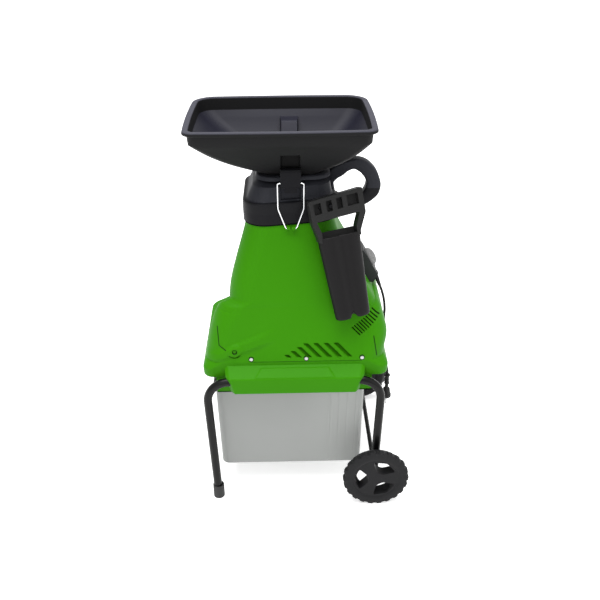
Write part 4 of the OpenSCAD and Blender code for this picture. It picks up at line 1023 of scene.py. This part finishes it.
def build_plunger():
    """Plunger: hollow two-lobed body under a grip with a window and four pockets."""
    long, wide, deep, taper = 206.0, 106.0, 46.0, 0.18
    rows = [(-2, 3), (0.5, 2.6), (1, 1.6), (0, 0.4), (-2, 0)]
    rows += [(-z, 0) for z in np.linspace(20, long - 6, 14)] + [(-long + 2, 1), (-long, 4)]
    rings = []
    for z, draw in rows:
        plan = lobed(wide, deep) * (1 + taper * z / long)
        plan *= 1 - draw / np.maximum(np.hypot(*plan.T), 1)[:, None]
        foot = smooth(-z, long * 0.8, long)
        rise = foot * (15 * np.exp(-((plan[:, 0] / 6) ** 2)) + 2 * np.abs(2 * plan[:, 0] / wide) ** 8)
        rings.append(np.column_stack([plan, z + rise]))
    shell = patch(np.array(rings)[::-1], ends="first")
    hollow = np.array([np.column_stack([lobed(wide - 6, deep - 6) * (1 + taper * z / long), np.full(96, z)])
                       for z in (-2.0, -60, -120, -180)])
    well = patch(hollow[:, ::-1][::-1], ends="first")
    grip = rounded([(-61, 93), (73, 103), (73, 44), (53, 2), (53, -8), (44, -10), (44, 14), (58, 46),
                    (-50, 42), (-42, 14), (-44, -10), (-53, -8), (-53, 2), (-61, 38)], 3, 3)
    pockets = [[(x - half, low), (x + half, low + 1), (x + half, low + 27), (x - half, low + 26)]
               for x, half, low in ((-42, 9, 59), (-13, 7, 61), (13, 7, 63), (46, 14, 65))]
    parts = [prism(grip, [], -15, 0), prism(grip, pockets, 0, 15),
             prism([(-48, -6), (48, -6), (45, 12), (-43, 12)], [], -15, -11)]
    place = Matrix.Translation((82, -130, 742))
    for angle, axis in ((14, "Z"), (-6.3, "Y"), (-17, "X")):
        place = place @ Matrix.Rotation(math.radians(angle), 4, axis)
    piece("plunger_body", [moved(p, place) for p in (shell, well)], paint("plunger"), "plunger",
          ["plunger"], sharp=50)
    piece("plunger_grip", [moved(p, place) for p in parts], paint("grip"), "plunger", [],
          bevel=1.4)


# Switch and lead

LEAD = np.array([[204, 0, 538], [210, 0, 523], [215, 0, 506], [219, 0, 486], [221, 0, 464], [220.5, 0, 442],
                 [219.5, 0, 420], [219, 0, 398], [219.5, 0, 376], [221, 0, 354], [224, 0, 332], [228, 0, 310],
                 [232, 0, 288], [236.5, 0, 270], [238, 0, 260], [238, 0, 250]], float)


def build_switch():
    """Switch box on the trunk's slope and its ribbed round knob."""
    top, low = np.array([154, 655]), np.array([194, 586])
    side = rounded([top, low, (184, 562), (150, 566), (128, 652)], 5, 4)
    piece("switch_case", [prism(side, [], -31, 31)], paint("switch"), "root", ["switch_box"],
          bevel=3.0)
    knob_x, knob_z, knob_r, dome_h = 173.2, 621.9, 24, 13
    tilt = math.atan2(top[1] - low[1], low[0] - top[0])
    place = Matrix.Translation((knob_x, 0, knob_z)) @ Matrix.Rotation(tilt, 4, "Y")
    a = np.linspace(0, 2 * np.pi, 144, endpoint=False)
    rings = []
    for rise in np.concatenate([[-1.0, 0], np.linspace(0, 1, 16)]):
        turn = max(rise, 0) * np.pi / 2
        r = knob_r * math.cos(turn) + 0.02
        x, y = r * np.cos(a), r * np.sin(a)
        ribs = 1.6 * smooth(np.cos(2 * np.pi * x / 6.5), -0.4, 0.4) * smooth(rise, 0.08, 0.3)
        z = 3 + dome_h * math.sin(turn) + (-2.7 if rise < 0 else 0) - ribs
        rings.append(np.stack([x, y, z + 0 * a], -1))
    dome = patch(np.array(rings), ends="first last")
    stem = lathe([[0, -8], [4, -8], [4, 1], [0, 1]], 24)
    piece("knob_dome", [moved(p, place) for p in (dome, stem)], paint("knob"), "knob", ["switch_knob"],
          sharp=50)


def build_lead():
    """Lead with its ribbed strain relief and moulded plug."""
    foot = np.array([189.5, 0, 575.2])
    way = LEAD[0] - foot
    long = float(np.linalg.norm(way))
    z = np.linspace(0, long, 60)
    r = 7.2 - 2.6 * z / long - 0.8 * smooth(np.cos(2 * np.pi * z / 5.5), 0.2, 0.6) * smooth(z, 8, 10)
    profile = np.concatenate([[[0, -4], [9, -4], [9, 5], [8.2, 6]], np.column_stack([r, z])[9:], [[0, long]]])
    turn = Vector((0, 0, 1)).rotation_difference(Vector(way)).to_matrix().to_4x4()
    piece("lead_relief", [moved(lathe(profile, 28), Matrix.Translation(foot) @ turn)], paint("lead"), "root",
          ["strain_relief"])
    cord = piece("lead_cord", [swept(LEAD, disc(size("cord_d"), 14), (0, 1, 0))], paint("lead"), "root",
                 ["power_cord"])
    rows = [[0, 0], [8.5, 0], [8.5, 4], [6, 6], [6.2, 11], [5.4, 12], [5.4, 14], [6.3, 15], [6.4, 19],
            [5.6, 20], [5.6, 22], [6.5, 23], [6.5, 26], [8, 30], [5, 33], [5, 44], [9.5, 48], [11.5, 64],
            [13.5, 66], [13.5, 75], [12.6, 76], [0, 76]]
    shape = soften(rows, 0.8, 2) * [1, -1]
    plug = piece("lead_plug", [moved(lathe(shape[::-1], 40), Matrix.Translation(LEAD[-1]))], paint("lead"),
                 "root", ["plug_body"])
    size("cord_d") * MM


# Inner pieces and fasteners

NODE_PAINT = {
    "steel": ["deck_plate", "deck_bolts", "motor_bolts", "stator_core", "lower_bearing", "upper_bearing",
              "rotor_shaft", "rotor_core", "cutting_disc", "disc_nut", "clamp_screws", "axle_spacers",
              "axle_caps"],
    "tube": ["wheel_axle"],
    "blade": ["knife_blades", "blade_screws"],
    "black": ["feed_chute", "motor_end_cap", "cooling_fan", "frame_clamps", "switch_contacts",
              "bin_interlock", "leg_plugs"],
    "motor": ["motor_can"],
    "screw": ["housing_screws", "boss_screws"],
    "wire": ["plug_pins"],
}


def finish_nodes():
    """Procedural finish on the CAD pieces that stay in view."""
    for name, nodes in NODE_PAINT.items():
        for node in nodes:
            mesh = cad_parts[node].data
            mesh.materials.clear()
            mesh.materials.append(paint(name))
            mesh.shade_smooth()
            mesh.set_sharp_from_angle(angle=math.radians(35))


# Stage

WHITE = (1.0, 1.0, 1.0)


def build_floor():
    """Pale floor that shows white to the backdrop's rays away from the part, and keeps its shadow."""
    mesh = bpy.data.meshes.new("floor")
    mesh.from_pydata([(-30, -30, 0), (30, -30, 0), (30, 30, 0), (-30, 30, 0)], [], [(0, 1, 2, 3)])
    floor = bpy.data.objects.new("floor", mesh)
    bpy.context.scene.collection.objects.link(floor)
    pale = Finish("floor_white", (0.9, 0.9, 0.9), 0.9)
    away = pale.x.hypot(pale.y).step(0.4, 1.6)
    glow = pale.mix(pale.backdrop_rays() * (away * 0.6 + 0.4), opaque((0.25,) * 3), opaque(WHITE))
    pale.set("Emission Color", glow)
    pale.set("Emission Strength", 1.0)
    mesh.materials.append(pale.material)


def build_world():
    """Soft even light from all round, seen as white by the backdrop's rays."""
    world = bpy.data.worlds.new("studio")
    bpy.context.scene.world = world
    world.use_nodes = True
    world.node_tree.nodes.clear()
    sky = Graph(world.node_tree)
    light, white = (sky.node("ShaderNodeBackground", [opaque(WHITE), strength]) for strength in (0.45, 1.0))
    sky.node("ShaderNodeOutputWorld", [sky.node("ShaderNodeMixShader", [sky.backdrop_rays(), light, white])])


def build_lights():
    """Three square area lights aimed at the part: name, place, width and power."""
    aim = Vector((0, 0, 0.5))
    for name, spot, width, power in (
            ("top", (-0.2, -0.3, 3.4), 2.8, 165),
            ("key", (-1.0, -2.6, 2.0), 2.2, 17),
            ("fill", (2.4, -1.4, 1.6), 2.0, 12)):
        light = bpy.data.lights.new(name, "AREA")
        light.size = width
        light.energy = power
        lamp = bpy.data.objects.new(name, light)
        lamp.location = spot
        lamp.rotation_euler = (aim - Vector(spot)).to_track_quat("-Z", "Y").to_euler()
        bpy.context.scene.collection.objects.link(lamp)


def build_camera():
    """Camera of the photo: turned by yaw from +Y, tipped down by pitch and then rolled."""
    scene = bpy.context.scene
    pitch, yaw, roll = (math.radians(v) for v in (28.53, 1.05, -0.48))
    ahead = Vector((math.sin(yaw) * math.cos(pitch), math.cos(yaw) * math.cos(pitch), -math.sin(pitch)))
    right = Vector((math.cos(yaw), -math.sin(yaw), 0))
    up = right.cross(ahead)
    across = right * math.cos(roll) + up * math.sin(roll)
    high = up * math.cos(roll) - right * math.sin(roll)
    lens = bpy.data.cameras.new("camera")
    lens.lens = 46.43
    lens.sensor_width = 36
    camera = bpy.data.objects.new("camera", lens)
    turn = Matrix((across, high, -ahead)).transposed().to_4x4()
    camera.matrix_world = Matrix.Translation((-0.04282, -1.83368, 1.4927)) @ turn
    scene.collection.objects.link(camera)
    scene.camera = camera
    scene.view_settings.view_transform = "Standard"


# Add-on

def build_operator(key, label, doc, *steps):
    """Operator class that runs the given build functions in turn."""
    def execute(self, context):
        for step in steps:
            step()
        return {"FINISHED"}

    return type(f"SHREDDER_OT_{key}", (bpy.types.Operator,), {
        "__doc__": doc, "bl_idname": f"shredder.{key}", "bl_label": label, "execute": execute})


OPERATORS = [
    build_operator("materials", "Materials", "Make the procedural materials", make_materials),
    build_operator("frame", "Frame", "Build the tube loops and feet", build_frame),
    build_operator("housing", "Housing", "Build the base and the trunk", build_base, build_trunk),
    build_operator("hopper", "Hopper", "Build the collar and the hopper", build_collar, build_hopper),
    build_operator("bin", "Bin", "Build the chip bin", build_bin),
    build_operator("wheels", "Wheels", "Build the wheels", build_wheels),
    build_operator("latches", "Latches", "Build the bails and levers", build_latches),
    build_operator("plunger", "Plunger", "Build the plunger", build_plunger),
    build_operator("switch", "Switch", "Build the switch box and knob", build_switch),
    build_operator("lead", "Lead", "Build the lead and its plug", build_lead),
    build_operator("nodes", "Inner pieces", "Finish the CAD pieces that stay", finish_nodes),
    build_operator("stage", "Stage", "Build the floor, lights and camera", build_floor, build_world,
                   build_lights, build_camera),
]


class SHREDDER_PT_sidebar(bpy.types.Panel):
    """Sizes, finishes and build steps of the shredder."""

    bl_label = "Garden shredder"
    bl_idname = "SHREDDER_PT_sidebar"
    bl_space_type = "VIEW_3D"
    bl_region_type = "UI"
    bl_category = "Shredder"

    def draw(self, context):
        for group in (context.scene.shredder_shape, context.scene.shredder_finish):
            for name in group.__annotations__:
                self.layout.prop(group, name)
        for operator in OPERATORS:
            self.layout.operator(operator.bl_idname)


CLASSES = [ShredderShape, ShredderFinish, *OPERATORS, SHREDDER_PT_sidebar]


def register():
    """Register the classes and hang the two groups on the scene."""
    for cls in CLASSES:
        bpy.utils.register_class(cls)
    bpy.types.Scene.shredder_shape = bpy.props.PointerProperty(type=ShredderShape)
    bpy.types.Scene.shredder_finish = bpy.props.PointerProperty(type=ShredderFinish)


def unregister():
    """Undo register."""
    del bpy.types.Scene.shredder_finish
    del bpy.types.Scene.shredder_shape
    for cls in reversed(CLASSES):
        bpy.utils.unregister_class(cls)


def main():
    """Build every piece and the stage in order, and write the sizes."""
    register()
    for operator in OPERATORS:
        getattr(bpy.ops.shredder, operator.bl_idname.split(".")[1])()


if __name__ == "__main__":
    main()
